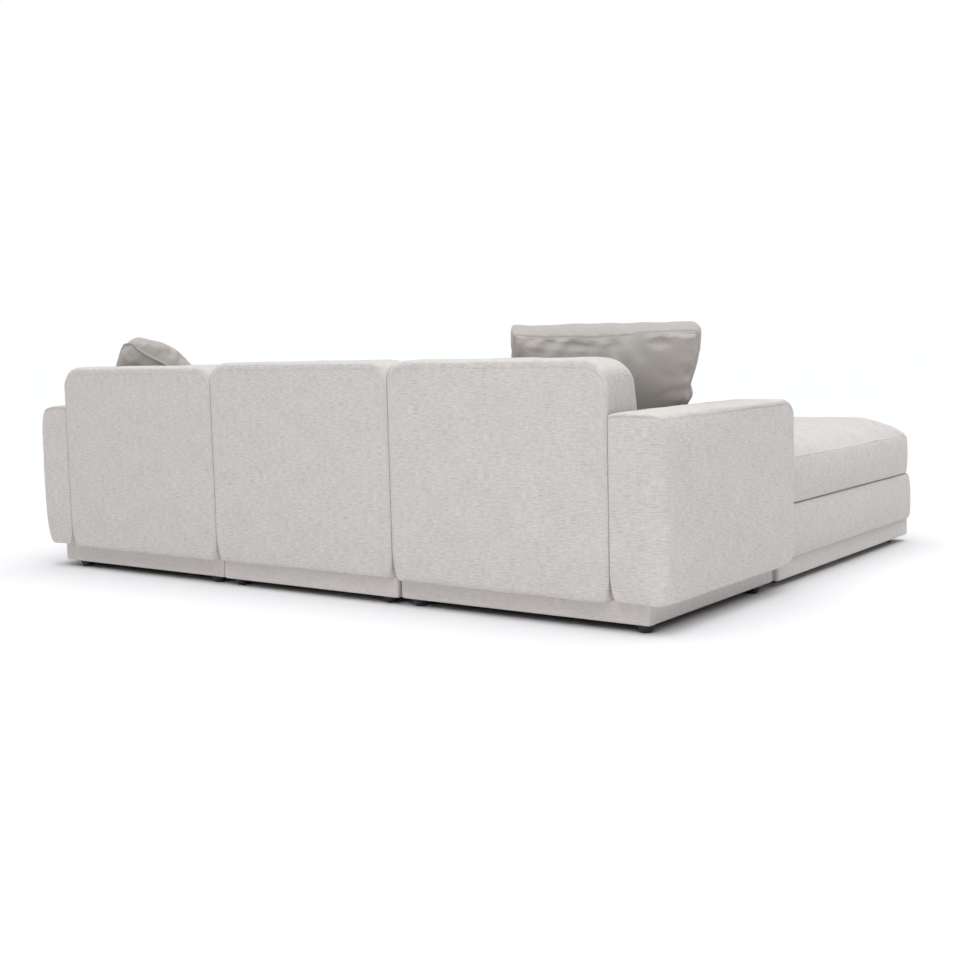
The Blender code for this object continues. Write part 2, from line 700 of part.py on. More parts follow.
def connector(name, place, towards, female):
    """Half of a sectional connector under a joint. It reaches towards its neighbour."""
    along, across = Vector(towards), Vector((-towards[1], towards[0]))
    origin = Vector((row_x(place[0]), row_y(place[1])))
    ceiling = PLINTH_BOTTOM - FIT

    def block(start, end, half_width, bottom, top):
        first = origin + along * start - across * half_width
        second = origin + along * end + across * half_width
        low = (min(first.x, second.x), min(first.y, second.y), bottom)
        high = (max(first.x, second.x), max(first.y, second.y), top)
        return box_shell(low, high)

    near = -MODULE_GAP / 2
    back_end = near - CONNECTOR_REACH
    slot_top = ceiling - JAW_WALL
    slot_bottom = ceiling - JAW_HEIGHT + JAW_WALL
    if female:
        made = add_object(
            name, block(back_end, near, CONNECTOR_LENGTH / 2, ceiling - JAW_HEIGHT, ceiling), STEEL, 0.35, 1.0
        )
        cut(made, block(back_end + JAW_WALL, near + JAW_WALL, JAW_SLOT_WIDTH / 2, slot_bottom, slot_top))
        return made
    clear = TONGUE_CLEARANCE
    tip = MODULE_GAP / 2 + CONNECTOR_REACH - JAW_WALL - TIP_CLEARANCE
    top, bottom = slot_top - clear, slot_bottom + clear
    half = JAW_SLOT_WIDTH / 2 - clear
    bm = block(back_end, near, CONNECTOR_LENGTH / 2, bottom, ceiling)
    plate = add_object(name, bm, STEEL, 0.35, 1.0)
    tongue_bm = block(near - PLATE_THICKNESS, tip, half, bottom, top)
    for vertex in tongue_bm.verts:
        ahead = (Vector(vertex.co[:2]) - origin).dot(along)
        if ahead > tip - TONGUE_LEAD:
            sideways = (Vector(vertex.co[:2]) - origin).dot(across)
            pulled = across * math.copysign(TONGUE_LEAD, -sideways)
            vertex.co.x += pulled.x
            vertex.co.y += pulled.y
    tongue = add_object(name + "_tongue", tongue_bm, STEEL, 0.35, 1.0)
    tongue.hide_render = True
    tongue.display_type = "WIRE"
    union = plate.modifiers.new("tongue", "BOOLEAN")
    union.operation = "UNION"
    union.solver = "EXACT"
    union.object = tongue
    return plate


def connectors():
    """Three pairs: middle to left, middle to right, and left to ottoman."""
    left_joint = (2 * PANEL_WIDTH, CONNECTOR_PLACE)
    right_joint = (PANEL_WIDTH, CONNECTOR_PLACE)
    ottoman_joint = (2.5 * PANEL_WIDTH, MODULE_DEPTH + MODULE_GAP / 2)
    connector("left_connector_jaw", left_joint, (1.0, 0.0), True)
    connector("middle_left_connector_tongue", left_joint, (-1.0, 0.0), False)
    connector("right_connector_jaw", right_joint, (-1.0, 0.0), True)
    connector("middle_right_connector_tongue", right_joint, (1.0, 0.0), False)
    connector("ottoman_connector_jaw", ottoman_joint, (0.0, 1.0), True)
    connector("left_front_connector_tongue", ottoman_joint, (0.0, -1.0), False)


def cushion_form(width, height, band, crown, fullness, corner):
    """A loose cushion lying flat about the origin: a band round it and a crown on both faces."""
    low = Vector((-width / 2, -height / 2, -band / 2))
    high = -low
    edge = min(EDGE_ROUND, band / 2 - FIT)
    lines = (
        stations(low.x, high.x, corner[0], corner[0], CUSHION_LINES, edge),
        stations(low.y, high.y, corner[0], corner[0], CUSHION_LINES, edge),
        stations(low.z, high.z, 0, 0, 1, edge),
    )

    def shape(point):
        point, away = rounded(point, low, high, edge)
        across, along = 2 * point.x / width, 2 * point.y / height
        fall = max(1 - across * across, 0.0) * max(1 - along * along, 0.0)
        point.z += crown * away.z * fall ** fullness
        point.x -= corner[1] * across * (1 - along * along)
        point.y -= corner[1] * along * (1 - across * across)
        return point

    return lattice_shell(*lines, shape)


def samples(bm):
    """Points spread closely over the faces of a mesh of triangles."""
    fine = bm.copy()
    bmesh.ops.subdivide_edges(fine, edges=fine.edges, cuts=SAMPLE_CUTS, use_grid_fill=True)
    found = [vertex.co.copy() for vertex in fine.verts]
    fine.free()
    return found


def approach(bm, direction, targets, clearance=SOFT_FIT):
    """Moves a mesh in a direction until it rests against the first of the objects ahead."""
    ahead = Vector(direction)
    found = []
    for target in targets:
        still = bmesh.new()
        still.from_mesh(target.data)
        moving_tree, still_tree = BVHTree.FromBMesh(bm), BVHTree.FromBMesh(still)
        hits = [still_tree.ray_cast(point, ahead) for point in samples(bm)]
        hits += [moving_tree.ray_cast(point, -ahead) for point in samples(still)]
        still.free()
        found += [hit[3] for hit in hits if hit[3] is not None]
    bm.transform(Matrix.Translation(ahead * (min(found) - clearance)))


def settle(bm, place, turn, lean, roll, seat, rests):
    """Stands a loose cushion on a seat: rolled in its own plane, leaned back, turned, then let down.

    rests lists what it leans on, as a direction and an object.
    """
    upright = Matrix.Rotation(math.radians(90), 4, "X")
    rolled = Matrix.Rotation(math.radians(roll), 4, "Y")
    leaned = Matrix.Rotation(math.radians(-lean), 4, "X")
    turned = Matrix.Rotation(math.radians(turn), 4, "Z")
    bm.transform(turned @ leaned @ rolled @ upright)
    bm.transform(Matrix.Translation((row_x(place[0]), row_y(place[1]), BACK_HEIGHT + SEAM_HEIGHT)))
    approach(bm, DOWN, [seat])
    for direction, support in rests:
        approach(bm, direction, [support], LEAN_FIT)
    approach(bm, DOWN, [seat] + [support for _, support in rests])
    return bm


def loose_cushions(made):
    form = cushion_form(
        BACK_CUSHION_WIDTH, BACK_CUSHION_HEIGHT, BACK_CUSHION_BAND,
        BACK_CUSHION_CROWN, BACK_CUSHION_FULLNESS, BACK_CUSHION_CORNER,
    )
    from_arm, depth = BACK_CUSHION_PLACE
    settle(
        form, (3 * PANEL_WIDTH - from_arm, depth), BACK_CUSHION_TURN, BACK_CUSHION_LEAN, 0.0,
        made["left_seat_cushion"], [(REARWARD, made["left_back"]), (LEFTWARD, made["left_arm"])],
    )
    add_object("back_cushion", form, SMOOTH)
    pillow = cushion_form(
        PILLOW_SIDE, PILLOW_SIDE, PILLOW_EDGE, PILLOW_CROWN, PILLOW_FULLNESS, PILLOW_CORNER
    )
    settle(
        pillow, PILLOW_PLACE, PILLOW_TURN, PILLOW_LEAN, PILLOW_ROLL,
        made["right_seat_cushion"], [(REARWARD, made["right_back"])],
    )
    add_object("throw_pillow", pillow, SMOOTH)


def module_parts(plan):
    """What every module has, the ottoman too."""
    plinth(plan)
    dust_cover(plan)
    for name, centre in plan.feet().items():
        foot(plan.name + "_" + name, centre)
    seat_base(plan)
    seat_frame(plan)
    webbing(plan)
    seat_cushion(plan)


def main():
    clear_scene()
    right = Module("right", 0.0, PANEL_WIDTH, arm="right")
    middle = Module("middle", PANEL_WIDTH, 2 * PANEL_WIDTH)
    left = Module("left", 2 * PANEL_WIDTH, 3 * PANEL_WIDTH, arm="left")
    for plan in (right, middle, left, ottoman_plan()):
        module_parts(plan)
    for number, plan in enumerate((right, middle, left)):
        back(plan, number)
    arm(left)
    arm(right)
    connectors()
    loose_cushions(bpy.data.objects)


main()
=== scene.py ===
"""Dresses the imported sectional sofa: upholstery, loose cushions, feet, materials, light and camera."""

import math

import bmesh
import bpy
import numpy as np
from mathutils import Matrix, Vector
from mathutils.bvhtree import BVHTree


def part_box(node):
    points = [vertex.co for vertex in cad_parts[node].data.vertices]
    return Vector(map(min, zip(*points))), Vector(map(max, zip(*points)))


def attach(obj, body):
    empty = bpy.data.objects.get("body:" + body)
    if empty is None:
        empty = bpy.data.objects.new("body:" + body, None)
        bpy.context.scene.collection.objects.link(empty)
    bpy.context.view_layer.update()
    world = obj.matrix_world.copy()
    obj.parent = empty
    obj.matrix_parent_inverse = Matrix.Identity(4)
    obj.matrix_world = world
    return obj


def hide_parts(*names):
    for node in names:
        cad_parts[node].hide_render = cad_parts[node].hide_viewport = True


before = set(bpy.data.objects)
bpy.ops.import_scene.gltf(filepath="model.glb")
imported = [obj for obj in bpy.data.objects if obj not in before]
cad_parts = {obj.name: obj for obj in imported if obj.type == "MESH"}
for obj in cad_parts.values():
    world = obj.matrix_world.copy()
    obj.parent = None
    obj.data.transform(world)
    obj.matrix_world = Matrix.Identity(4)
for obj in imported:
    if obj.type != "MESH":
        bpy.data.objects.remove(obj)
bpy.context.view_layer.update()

# The row, in metres, as the solids have it
PANEL_WIDTH = 0.81
MODULE_GAP = 0.002
FIT = 0.0003
BACK_HEIGHT = 0.79
BACK_FOOT_DEPTH = 0.235
BACK_LEAN = 0.148
BACK_LEAN_FROM = 0.30
BACK_SWELL = 0.012
ARM_WIDTH = 0.182
ARM_BULGE = {"left": 0.010, "right": 0.007}
ARM_HEIGHT = 0.632
MODULE_DEPTH = 0.872
OTTOMAN_LENGTH = 1.200
OTTOMAN_SIDE_STEP = 0.043
PLINTH_BOTTOM = 0.026
PLINTH_TOP = 0.0915
DECK_TOP = 0.276
SEAM_HEIGHT = 0.428
SEAT_CROWN = 0.088
CROWN_FULLNESS = 8
OTTOMAN_FULLNESS = 11
SIDE_BULGE = 0.010
OTTOMAN_FRONT_BULGE = 0.020
SEAT_FRONT_STEP = 0.012
PLINTH_REAR_STEP = 0.035
PLINTH_SIDE_STEP = 0.071
PLINTH_FRONT_STEP = 0.007
RIGHT_PLINTH_SIDE_STEP = 0.093
OTTOMAN_PLINTH_REACH = 0.014
CUSHION_GAP = 0.004
HALF_ROW = 1.5 * PANEL_WIDTH
OTTOMAN_REAR = MODULE_DEPTH + MODULE_GAP
OTTOMAN_FRONT = OTTOMAN_REAR + OTTOMAN_LENGTH
REAR_Y = (OTTOMAN_FRONT + OTTOMAN_FRONT_BULGE) / 2

# Drawn in corners as (reach, depth), and the lengths over which they fade out
CORNER_FADE = 0.090
OUTER_CORNER_FADE = 0.320
SHOULDER_FADE = 0.450
BACK_TUCK = (0.095, 0.036)
TOP_CORNER = (0.075, 0.060)
BACK_TOP_ROUND = (0.060, 0.045)
BACK_REAR_ROUND = (0.030, 0.012)
BACK_TOP_SIDE = (0.090, 0.015)
LEFT_BACK_CORNER = (0.034, 0.012)  # of its free side over the arm, behind
BACK_SETTLED = {"right": 0.010, "middle": 0.0, "left": 0.0}  # how far its top has sunk
OVERHANG = 0.033         # over this distance the sag of the rear lower edge fades out
# How far the rear lower edge of each back hangs down, by the distance from its right (+) or left (-) side
BACK_SAG = {
    "right": ((-0.3, 0.003), (0.3, 0.003)), "middle": ((-0.3, 0.0), (0.3, 0.0)),
    "left": ((-0.3, 0.005), (-0.02, 0.009), (0.02, 0.002), (0.3, 0.003)),
}
INNER_ARM_TUCK = (0.090, 0.030)
ARM_TUCKS = {"left": (0.100, 0.012), "right": (0.150, 0.045)}
ARM_CORNERS = {"left": (0.090, 0.052), "right": (0.045, 0.034)}
ARM_CORNER_SHARPER = {"left": 0.62, "right": 0.0}  # by what share it is sharper at top and bottom
ARM_NOSE = (0.065, 0.055)
ARM_TOE = (0.055, 0.060)
ARM_TOP_ROUND = {"left": (0.020, 0.009), "right": (0.120, 0.040)}
ARM_REAR_EASE = (0.160, 0.006)
ARM_INNER_TOP = (0.034, 0.013)
ARM_SHOULDER = (0.100, 0.030)
ARM_CROWN = {"left": 0.006, "right": 0.0}
CUSHION_CORNER = (0.100, 0.030)

# Loose cushions
BACK_CUSHION_SIZE = (0.590, 0.374, 0.105)
BACK_CUSHION_CROWN = 0.036
BACK_CUSHION_FULLNESS = 0.6
BACK_CUSHION_TURNS = (37.0, 17.0, 0.0)  # turn, lean and roll in degrees
PILLOW_SIZE = (0.410, 0.410, 0.012)
PILLOW_CROWN = 0.097
PILLOW_FULLNESS = 0.33
PILLOW_TURNS = (-19.0, 46.5, 17.4)
CUSHION_ROUND = (0.019, 0.019, 0.010)
CRISP_ROUND = 0.006      # of the back cushion's left side
CUSHION_SEAM = 0.010     # from the face of a boxed cushion back to the seam of its band
BAND_BULGE = 0.004
SIDE_SEAM_INSETS = {-1: 0.012, 1: 0.003}  # how far each side's seam is pulled on to the rear face
SIDE_SEAM_WIDTH = 0.03
TOP_SEAM_WIDTH = 0.05
LEFT_SIDE_IN = 0.013     # how far the back cushion's left side is drawn in
TOP_IN = 0.009
# Puckers beside the sewn edges: their wavelength and height, how far in they lie and how wide their row is
CUSHION_PUCKERS = (0.040, 0.0065, 0.022, 0.026)
PILLOW_PUCKERS = (0.030, 0.0042, 0.030, 0.025)
# Across the cushion from right to left: how far the top seam is pulled down on to the rear face
TOP_SEAM_DROP = ((-1.0, 0.006), (-0.9, 0.006), (-0.7, 0.004), (-0.46, 0.008), (-0.12, 0.022),
                 (0.10, 0.024), (0.64, 0.019), (0.92, 0.007), (1.0, 0.005))
# Up the cushion from its middle: how far its slack right side falls in, with the fold of its corner
SLACK_SIDE = ((-0.187, 0.020), (-0.115, 0.032), (-0.078, 0.032), (-0.062, 0.024), (-0.044, 0.013),
              (-0.027, 0.016), (-0.012, 0.021), (0.030, 0.0125), (0.055, 0.0065), (0.106, -0.003),
              (0.158, -0.004))
# Away from its top corner, how far the pillow's upper seam waves forwards and its rear side bows out
PILLOW_SEAM_WAVE = ((0.0, -0.002), (0.03, -0.008), (0.06, -0.008), (0.105, 0.0), (0.155, 0.012),
                    (0.25, 0.016), (0.41, 0.0))
PILLOW_SIDE_BOW = ((0.0, 0.0), (0.05, 0.003), (0.11, 0.016), (0.20, 0.015), (0.30, 0.010), (0.41, 0.002))
PILLOW_FRONT_PUFF = (0.060, 0.120, 0.075, 0.015)  # from the upper edge, from the rear side, width, height
PILLOW_WAIST = 0.010     # how far its sides are drawn in at their middles
PILLOW_CORNER_PULL = 0.010
PILLOW_CORNER_WIDTH = 0.03
PILLOW_LIP = 0.005
PILLOW_LIP_THIN = 0.30   # share of the rim's thickness that stays
# Painted shade along the pillow's seam, which is drawn only in its colour
PILLOW_SEAM_PAINTED_SHADE = 0.3
WELT_RADIUS = 0.0026
WELT_SIDES = 8

# Swelling of the stuffed covers: furthest move, pressure, and share by which the cloth is cut larger
SEAT_SWELLING = (0.010, 1.5, 0.02)
BACK_CUSHION_SWELLING = (0.014, 2.0, 0.05)
PILLOW_SWELLING = (0.012, 2.0, 0.04)
CUT_WAVELENGTH = 0.09
HELD_WIDTH = 0.003       # of the cloth that a seam holds
HELD_CORNER = 0.045      # of the pillow, round its top corner
SEAT_HOLD = 0.02         # above its deck a seat cushion doesn't swell
SEAT_PLAY = 0.0015       # how far a seat cushion may swell towards its neighbours
SEAT_FREE = 0.010        # and where it stands free

# Feet and the staples of the dust covers
FOOT_PROFILE = ((0.0, 0.0), (0.0166, 0.0), (0.0182, 0.0006), (0.0190, 0.0022), (0.0205, 0.0070),
                (0.0224, 0.0115), (0.0246, 0.0160), (0.0260, 0.0196), (0.0262, 0.0206), (0.0276, 0.0208),
                (0.0280, 0.0215), (0.0280, 0.0248), (0.0274, 0.0256), (0.0, 0.0257))
FOOT_PLACES = ("rear_left", "rear_right", "front_left", "front_right")
FOOT_SIDES = 40
SHARP_EDGE = 50          # degrees, from which a turned edge shows as an edge
STAPLE_SIZE = (0.010, 0.0012, 0.0006)
STAPLE_SPACING = 0.045
STAPLE_INSET = 0.014
FOOT_CLEARANCE = 0.075   # from a corner of a dust cover to its first staples

# Upholstery detail
EDGE_ROUND = 0.012
TIGHT_ROUND = 0.005      # where two pieces stand close against each other
PLUMP_ROUND = (0.014, 0.014, 0.007)
CLOSE_ROUND = (0.012, 0.012, 0.004)  # of a cushion where it lies on its base
BASE_TOP_ROUND = (0.018, 0.018, 0.005)
BASE_TOP_REACH = 0.05    # from its top, the height over which this rounding holds
OTTOMAN_ROUND = (0.016, 0.016, 0.013)
OTTOMAN_SWELL = {"base": 0.011, "cushion": 0.006}  # of its outer sides between upper and lower edges
OTTOMAN_SEAM_HEIGHT = 0.437
OTTOMAN_CROWN = 0.059
PLINTH_ROUND = (0.011, 0.011, 0.008)
PLINTH_HANG = 0.0035     # of its cloth below its rails, at the rim
PLINTH_RIM = (0.012, 0.026)  # over these distances from its sides the cloth rises to the rails
MIDDLE_PLINTH_MORE = 0.008  # the middle plinth stands this much further back
PLINTH_JOINT = 0.0025    # from the side of a module to its plinth, where two modules meet
OTTOMAN_PLINTH_MORE = (0.013, 0.018)  # its plinth stands this much further out and forwards
OTTOMAN_FRONT_FEET_MORE = (0.013, 0.036)  # and its front feet this much further out and forwards
PANEL_SEAM = 0.017       # from the top of a back down to the seam of its panel
PANEL_SEAM_ROUND = 0.018
# How deep the panel seam's groove sinks, and how much painted shade darkens the cloth in it
PANEL_SEAM_GROOVE_AND_SHADE = 0.25
ARM_SEAM = 0.010         # from the top of an arm down to its seam
# How deep the arm seam's groove sinks, and how much painted shade darkens the cloth in it
ARM_SEAM_GROOVE_AND_SHADE = 0.45
SEAT_SEAM = 0.009        # from the top of a seat cushion's band down to its seam
SEAM_DEPTH = 0.0042
SEAM_WIDTH = 0.0026
FINE_SEAM_WIDTH = 0.0020
LEFT_FREE_OVER_ARM = (-0.03, 0.05)  # heights over the arm between which the left back's side comes free
# Unevenness of the covers, as (wavelength, height) at one scale or two, and the seeds of its waves
COVER_WAVES = {
    "back": ((0.22, 0.0011), (0.07, 0.0004)), "arm": ((0.20, 0.0011), (0.06, 0.0004)),
    "seat_base": ((0.18, 0.0010),), "seat_cushion": ((0.24, 0.0018), (0.09, 0.0006)),
    "plinth": ((0.09, 0.0006),), "back_cushion": ((0.11, 0.0012),),
}
SEEDS = {
    "back": 20, "arm": 40, "seat_base": 60, "plinth": 70, "seat_cushion": 80,
    "back_cushion": 5, "throw_pillow": 15,
}
FINER_SEED = 50          # added for the finer waves
GATHERS = (0.035, 0.0012, 0.07)  # beside the top corners of a back: wavelength, height and width
GATHER_SEED = 90
UPRIGHT = (1.0, 1.0, 0.4)        # stretches folds along z
ACROSS_RIM = (1.0, 1.0, 0.2)
FACING = 0.9             # share of an outward direction from which a point counts as on that face
FLAT_TOP = 0.95

# Mesh lines: the steps between them along x, y and z, and their distances from seams and round edges
MESH_STEPS = {
    "back": (0.0125, 0.0125, 0.0125), "arm": (0.0125, 0.0125, 0.0125), "seat_base": (0.022, 0.022, 0.018),
    "seat_cushion": (0.0135, 0.0135, 0.0125), "plinth": (0.02, 0.02, 0.014),
    "back_cushion": (0.008, 0.008, 0.009), "throw_pillow": (0.0075, 0.0075, 0.004),
}
LINES_AT_EDGE = (0.0, 0.004, 0.008)
EDGE_LINES_END = 0.009
LINES_AT_SEAM = (-0.006, -0.003, 0.0, 0.003, 0.006)
LAST_LINE_STEP = 0.006
WIDE_CORNER_LINES = (0.020, 0.028, 0.037, 0.047, 0.058, 0.070, 0.083)
PILLOW_LINES = (0.0, 0.0025, 0.005, 0.0075, 0.011, 0.016)
PLINTH_FOOT_LINES = (0.0, 0.003, 0.007)
PLINTH_TALLER = 0.010    # the plinth's rounding at the top lies this far up, inside the seat base

UV_AXES = ((1, 2), (0, 2), (0, 1))

# Cloth: repeats of the yarn's unevenness per metre across and along it, the noise's detail, the tone's share
YARN_GRAINS = (((45.0, 260.0, 1.0), 2.0, 1.1), ((330.0, 24.0, 1.0), 1.0, 0.4), ((9.0, 14.0, 1.0), 2.0, 0.22))
DASHES = ((26.0, 330.0, 1.0), 0.0)
DASH_CONTRAST = (-10.0, 3.8)
DASH_TONE = -0.22
FLECKS = ((60.0, 330.0, 1.0), 1.0)
FLECK_CONTRAST = 9.0
# Painted shade of the weave: the cloth is painted darker between the threads and lighter on them, by their
# height
THREAD_PAINTED_SHADE = 0.04
# Painted shade: the share by which the cloth is painted darker in a seam's groove, at full seam strength
SEAM_PAINTED_SHADE = -0.30
YARN_RELIEF = 0.9        # of the uneven yarn beside the threads' own
YARN_ROUGHNESS = (-0.08, 0.90)
CLOTH_SHEEN = {"Specular IOR Level": 0.25, "Sheen Roughness": 0.5}
HARD_RELIEF = 0.1
WEAVE_PITCH = 0.0017
FINE_PITCH = 0.0009
RELIEF_DEPTH = 0.0005

# Stage, light and camera
FLOOR_SIZE = 60.0
FLOOR_COLOUR = (0.910, 0.888, 0.918, 1.0)
FLOOR_SEEN = (0.796, 0.795, 0.812, 1.0)  # by the rays that show it
WHITE = (1.0, 1.0, 1.0, 1.0)
SURROUNDINGS = (1.0, 0.995, 0.99, 1.0)
SURROUNDINGS_STRENGTH = 0.25
OVERHEAD_COLOUR = (0.985, 0.997, 1.0)
OVERHEAD_TILT = (-4.0, -4.0, 0.0)
LAMP_PLACE = (-1.8, 4.2, 2.7)    # of the weaker lamp behind, and what it is aimed at
LAMP_AIM = (-1.2, 1.0, 0.4)
VIEW_TURNS = (-36.474, -5.85, -1.462)  # the photograph's turn, tilt and roll in degrees
VIEW_PLACE = (-3.2748, 4.4425, 0.8578)
VIEW_LENS = (52.5, 36.0)         # its length and the sensor's width in millimetres


# Shapes of padded fabric, on arrays of points

def draw_in(distance, corner):
    """How far an elliptical corner (reach, depth) stands back at a distance from the edge."""
    reach, depth = corner
    part = np.clip((reach - distance) / reach, 0.0, 1.0)
    return depth * (1.0 - np.sqrt(1.0 - part * part))


def fading(distance, reach):
    """1 at an edge, falling evenly to 0 at its reach."""
    return np.maximum(1 - distance / reach, 0.0)


def rounded(flat, low, high, edges=EDGE_ROUND):
    """Points on a block's skin moved onto its roundings, with the outward directions there.

    edges is one radius, or how far the roundings reach along x, y and z.
    """
    inner = np.clip(flat, np.array(low) + edges, np.array(high) - edges)
    away = (flat - inner) / edges
    away /= np.maximum(np.linalg.norm(away, axis=1, keepdims=True), 1.0)
    return inner + away * edges, away


def bulged(points, away, low, high, bulge):
    """Points pushed out along each face's own direction, most at the middle of the face."""
    span = 2.0 * (points - low) / (np.array(high) - low) - 1.0
    fall = np.maximum(1.0 - span * span, 0.0)
    moved = points.copy()
    for axis in range(3):
        size = np.where(away[:, axis] > 0, bulge[axis][1], bulge[axis][0])
        moved[:, axis] += size * away[:, axis] * fall[:, (axis + 1) % 3] * fall[:, (axis + 2) % 3]
    return moved


def soft_noise(points, wavelength, seed, waves=10):
    """A smooth random value at each point, about -1 to 1, from a few seeded waves."""
    random = np.random.default_rng(seed)
    total = np.zeros(len(points))
    for _ in range(waves):
        direction = random.normal(size=3)
        length = wavelength * random.uniform(0.7, 1.7) * np.linalg.norm(direction)
        total += np.sin(points @ direction * (math.tau / length) + random.uniform(0.0, math.tau))
    return total / math.sqrt(waves)


def uneven(flat, part, seed):
    """The waves of a part's cover, finer ones with a seed of their own."""
    return sum(
        soft_noise(flat, wavelength, seed + FINER_SEED * number) * height
        for number, (wavelength, height) in enumerate(COVER_WAVES[part])
    )


def near(distance, width):
    """1 on a line, fading to 0 within about twice the width."""
    return np.exp(-(distance / width) ** 2)


def level_seam(flat, away, height, strength):
    """Strength of a seam that runs round a cover's sides at one height."""
    seam = near(flat[:, 2] - height, SEAM_WIDTH) * strength
    seam[np.abs(away[:, 2]) > FLAT_TOP] = 0.0
    return seam


def sunk(points, away, seam):
    """Points drawn in where a seam runs."""
    return points - away * (SEAM_DEPTH * seam)[:, None]


def puckered(points, flat, away, from_edge, puckers, seed):
    """Points with the short folds that run in from a sewn edge."""
    wavelength, height, middle, width = puckers
    pucker = soft_noise(flat * ACROSS_RIM, wavelength, seed) * near(from_edge - middle, width)
    points[:, 2] += away[:, 2] * pucker * height
    return points


def ring_distance(across, up, low, high, radius):
    """Distance from the outline of a rectangle with rounded corners."""
    middle = (np.array(low) + high) / 2
    half = (np.array(high) - low) / 2 - radius
    beyond_x = np.abs(across - middle[0]) - half[0]
    beyond_y = np.abs(up - middle[1]) - half[1]
    outside = np.hypot(np.maximum(beyond_x, 0.0), np.maximum(beyond_y, 0.0))
    return np.abs(outside + np.minimum(np.maximum(beyond_x, beyond_y), 0.0) - radius)


def mesh_lines(low, high, from_low, from_high, step):
    """Mesh lines at the given distances from both ends and evenly spaced between them."""
    head = [low + distance for distance in from_low]
    tail = [high - distance for distance in reversed(from_high)]
    count = max(round((tail[0] - head[-1]) / step), 1)
    return np.concatenate((head, np.linspace(head[-1], tail[0], count + 1)[1:-1], tail))


def seam_lines(*seams):
    """Distances of mesh lines for a rounded edge and for seams at these distances from it."""
    found = set(LINES_AT_EDGE)
    for seam in seams:
        found |= {round(seam + offset, 5) for offset in LINES_AT_SEAM if seam + offset > EDGE_LINES_END}
    return sorted(found | {max(found) + LAST_LINE_STEP})


def block_lines(part, low, high, *ends):
    """Mesh lines along x, y and z of a part's block, each axis with its (from_low, from_high)."""
    return [mesh_lines(low[i], high[i], *ends[i], MESH_STEPS[part][i]) for i in range(3)]


def lattice(lines):
    """The flat points of the skin on a block of mesh lines, and the number of each at its place."""
    counts = [len(line) for line in lines]
    grid = np.stack(np.meshgrid(*lines, indexing="ij"), axis=-1)
    outside = np.zeros(counts, bool)
    for axis in range(3):
        picked = [slice(None)] * 3
        picked[axis] = [0, -1]
        outside[tuple(picked)] = True
    index = np.full(counts, -1)
    index[outside] = np.arange(outside.sum())
    return grid[outside], index


def linked(name, data):
    """A new object of the scene."""
    made = bpy.data.objects.new(name, data)
    bpy.context.scene.collection.objects.link(made)
    return made


def skin(name, lines, shape):
    """The closed skin on a block of mesh lines. shape(points) gives their places and seam strength, which is
    kept so that the cloth can paint shade into the seams.

    The UV map keeps each panel's flat places in metres, so that the weave lies straight on it.
    """
    flat, index = lattice(lines)
    points, seam = shape(flat)
    quads, places = [], []
    for axis in range(3):
        for level in (0, -1):
            side = np.take(index, level, axis=axis)
            if axis == 1:
                side = side.T
            found = np.stack((side[:-1, :-1], side[1:, :-1], side[1:, 1:], side[:-1, 1:]), axis=-1)
            found = found.reshape(-1, 4)
            if level == 0:
                found = found[:, ::-1]
            quads.append(found)
            places.append(flat[found][:, :, UV_AXES[axis]])
    quads = np.concatenate(quads)
    mesh = bpy.data.meshes.new(name)
    mesh.from_pydata(points.tolist(), [], quads.tolist())
    layer = mesh.uv_layers.new(name="cloth")
    layer.data.foreach_set("uv", np.concatenate(places).astype(np.float32).ravel())
    # The seam strength, which the cloth's colour reads to paint shade into the seams
    strength = mesh.attributes.new("seam", "FLOAT", "POINT")
    strength.data.foreach_set("value", seam.astype(np.float32))
    mesh.shade_smooth()
    return linked(name, mesh)


def smoothed(made):
    """One subdivision, the same in view and render."""
    surface = made.modifiers.new("soft", "SUBSURF")
    surface.levels = surface.render_levels = 1
    return made


def dressed(made, body, nodes, material):
    """Gives a piece its material and puts it on a body in place of its nodes."""
    if not made.data.materials:
        made.data.materials.append(material)
    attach(made, body)
    if nodes:
        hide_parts(*nodes)
    return made


def upholstered(plan, part, lines, shape, material):
    """The smooth cover of a module's part, in place of its node."""
    made = smoothed(skin(f"{plan.name}_{part}_cover", lines, shape))
    return dressed(made, plan.body, [f"{plan.name}_{part}"], material)


# Plans of the modules

def row_x(along):
    """World x of a place counted from the right end of the right back panel towards the left."""
    return HALF_ROW - along


def row_y(depth):
    """World y of a place counted from the rear plane of the backs towards the front."""
    return REAR_Y - depth


class Module:
    """The plan of one module, as the solids have it."""

    def __init__(self, name, start, end):
        self.name = name
        self.start = start + MODULE_GAP / 2
        self.end = end - MODULE_GAP / 2
        self.arm = name if name in ("left", "right") else None
        self.front = MODULE_DEPTH - SEAT_FRONT_STEP
        self.seat_rear = BACK_FOOT_DEPTH + FIT
        self.plinth_rear = PLINTH_REAR_STEP
        self.plinth_front = MODULE_DEPTH - PLINTH_FRONT_STEP
        self.plinth_start, self.plinth_end = self.start, self.end
        if name == "right":
            self.plinth_start = start - ARM_WIDTH + RIGHT_PLINTH_SIDE_STEP
        if name == "left":
            self.plinth_end = end + ARM_WIDTH - PLINTH_SIDE_STEP
        self.body = name + "_module"

    def seat_box(self):
        """Plan of the seat's base: its low and high x and y."""
        x0, x1 = row_x(self.end), row_x(self.start)
        if self.name == "right":
            x1 = row_x(0.0) - FIT
        if self.name == "left":
            x0 = row_x(3 * PANEL_WIDTH) + FIT
        return x0, x1, row_y(self.front), row_y(self.seat_rear)

    def feet(self):
        """World places of the four feet, from their nodes."""
        names = [f"{self.name}_{place}_foot" for place in FOOT_PLACES]
        boxes = [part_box(name) for name in names]
        return names, [((a[0] + b[0]) / 2, (a[1] + b[1]) / 2) for a, b in boxes]


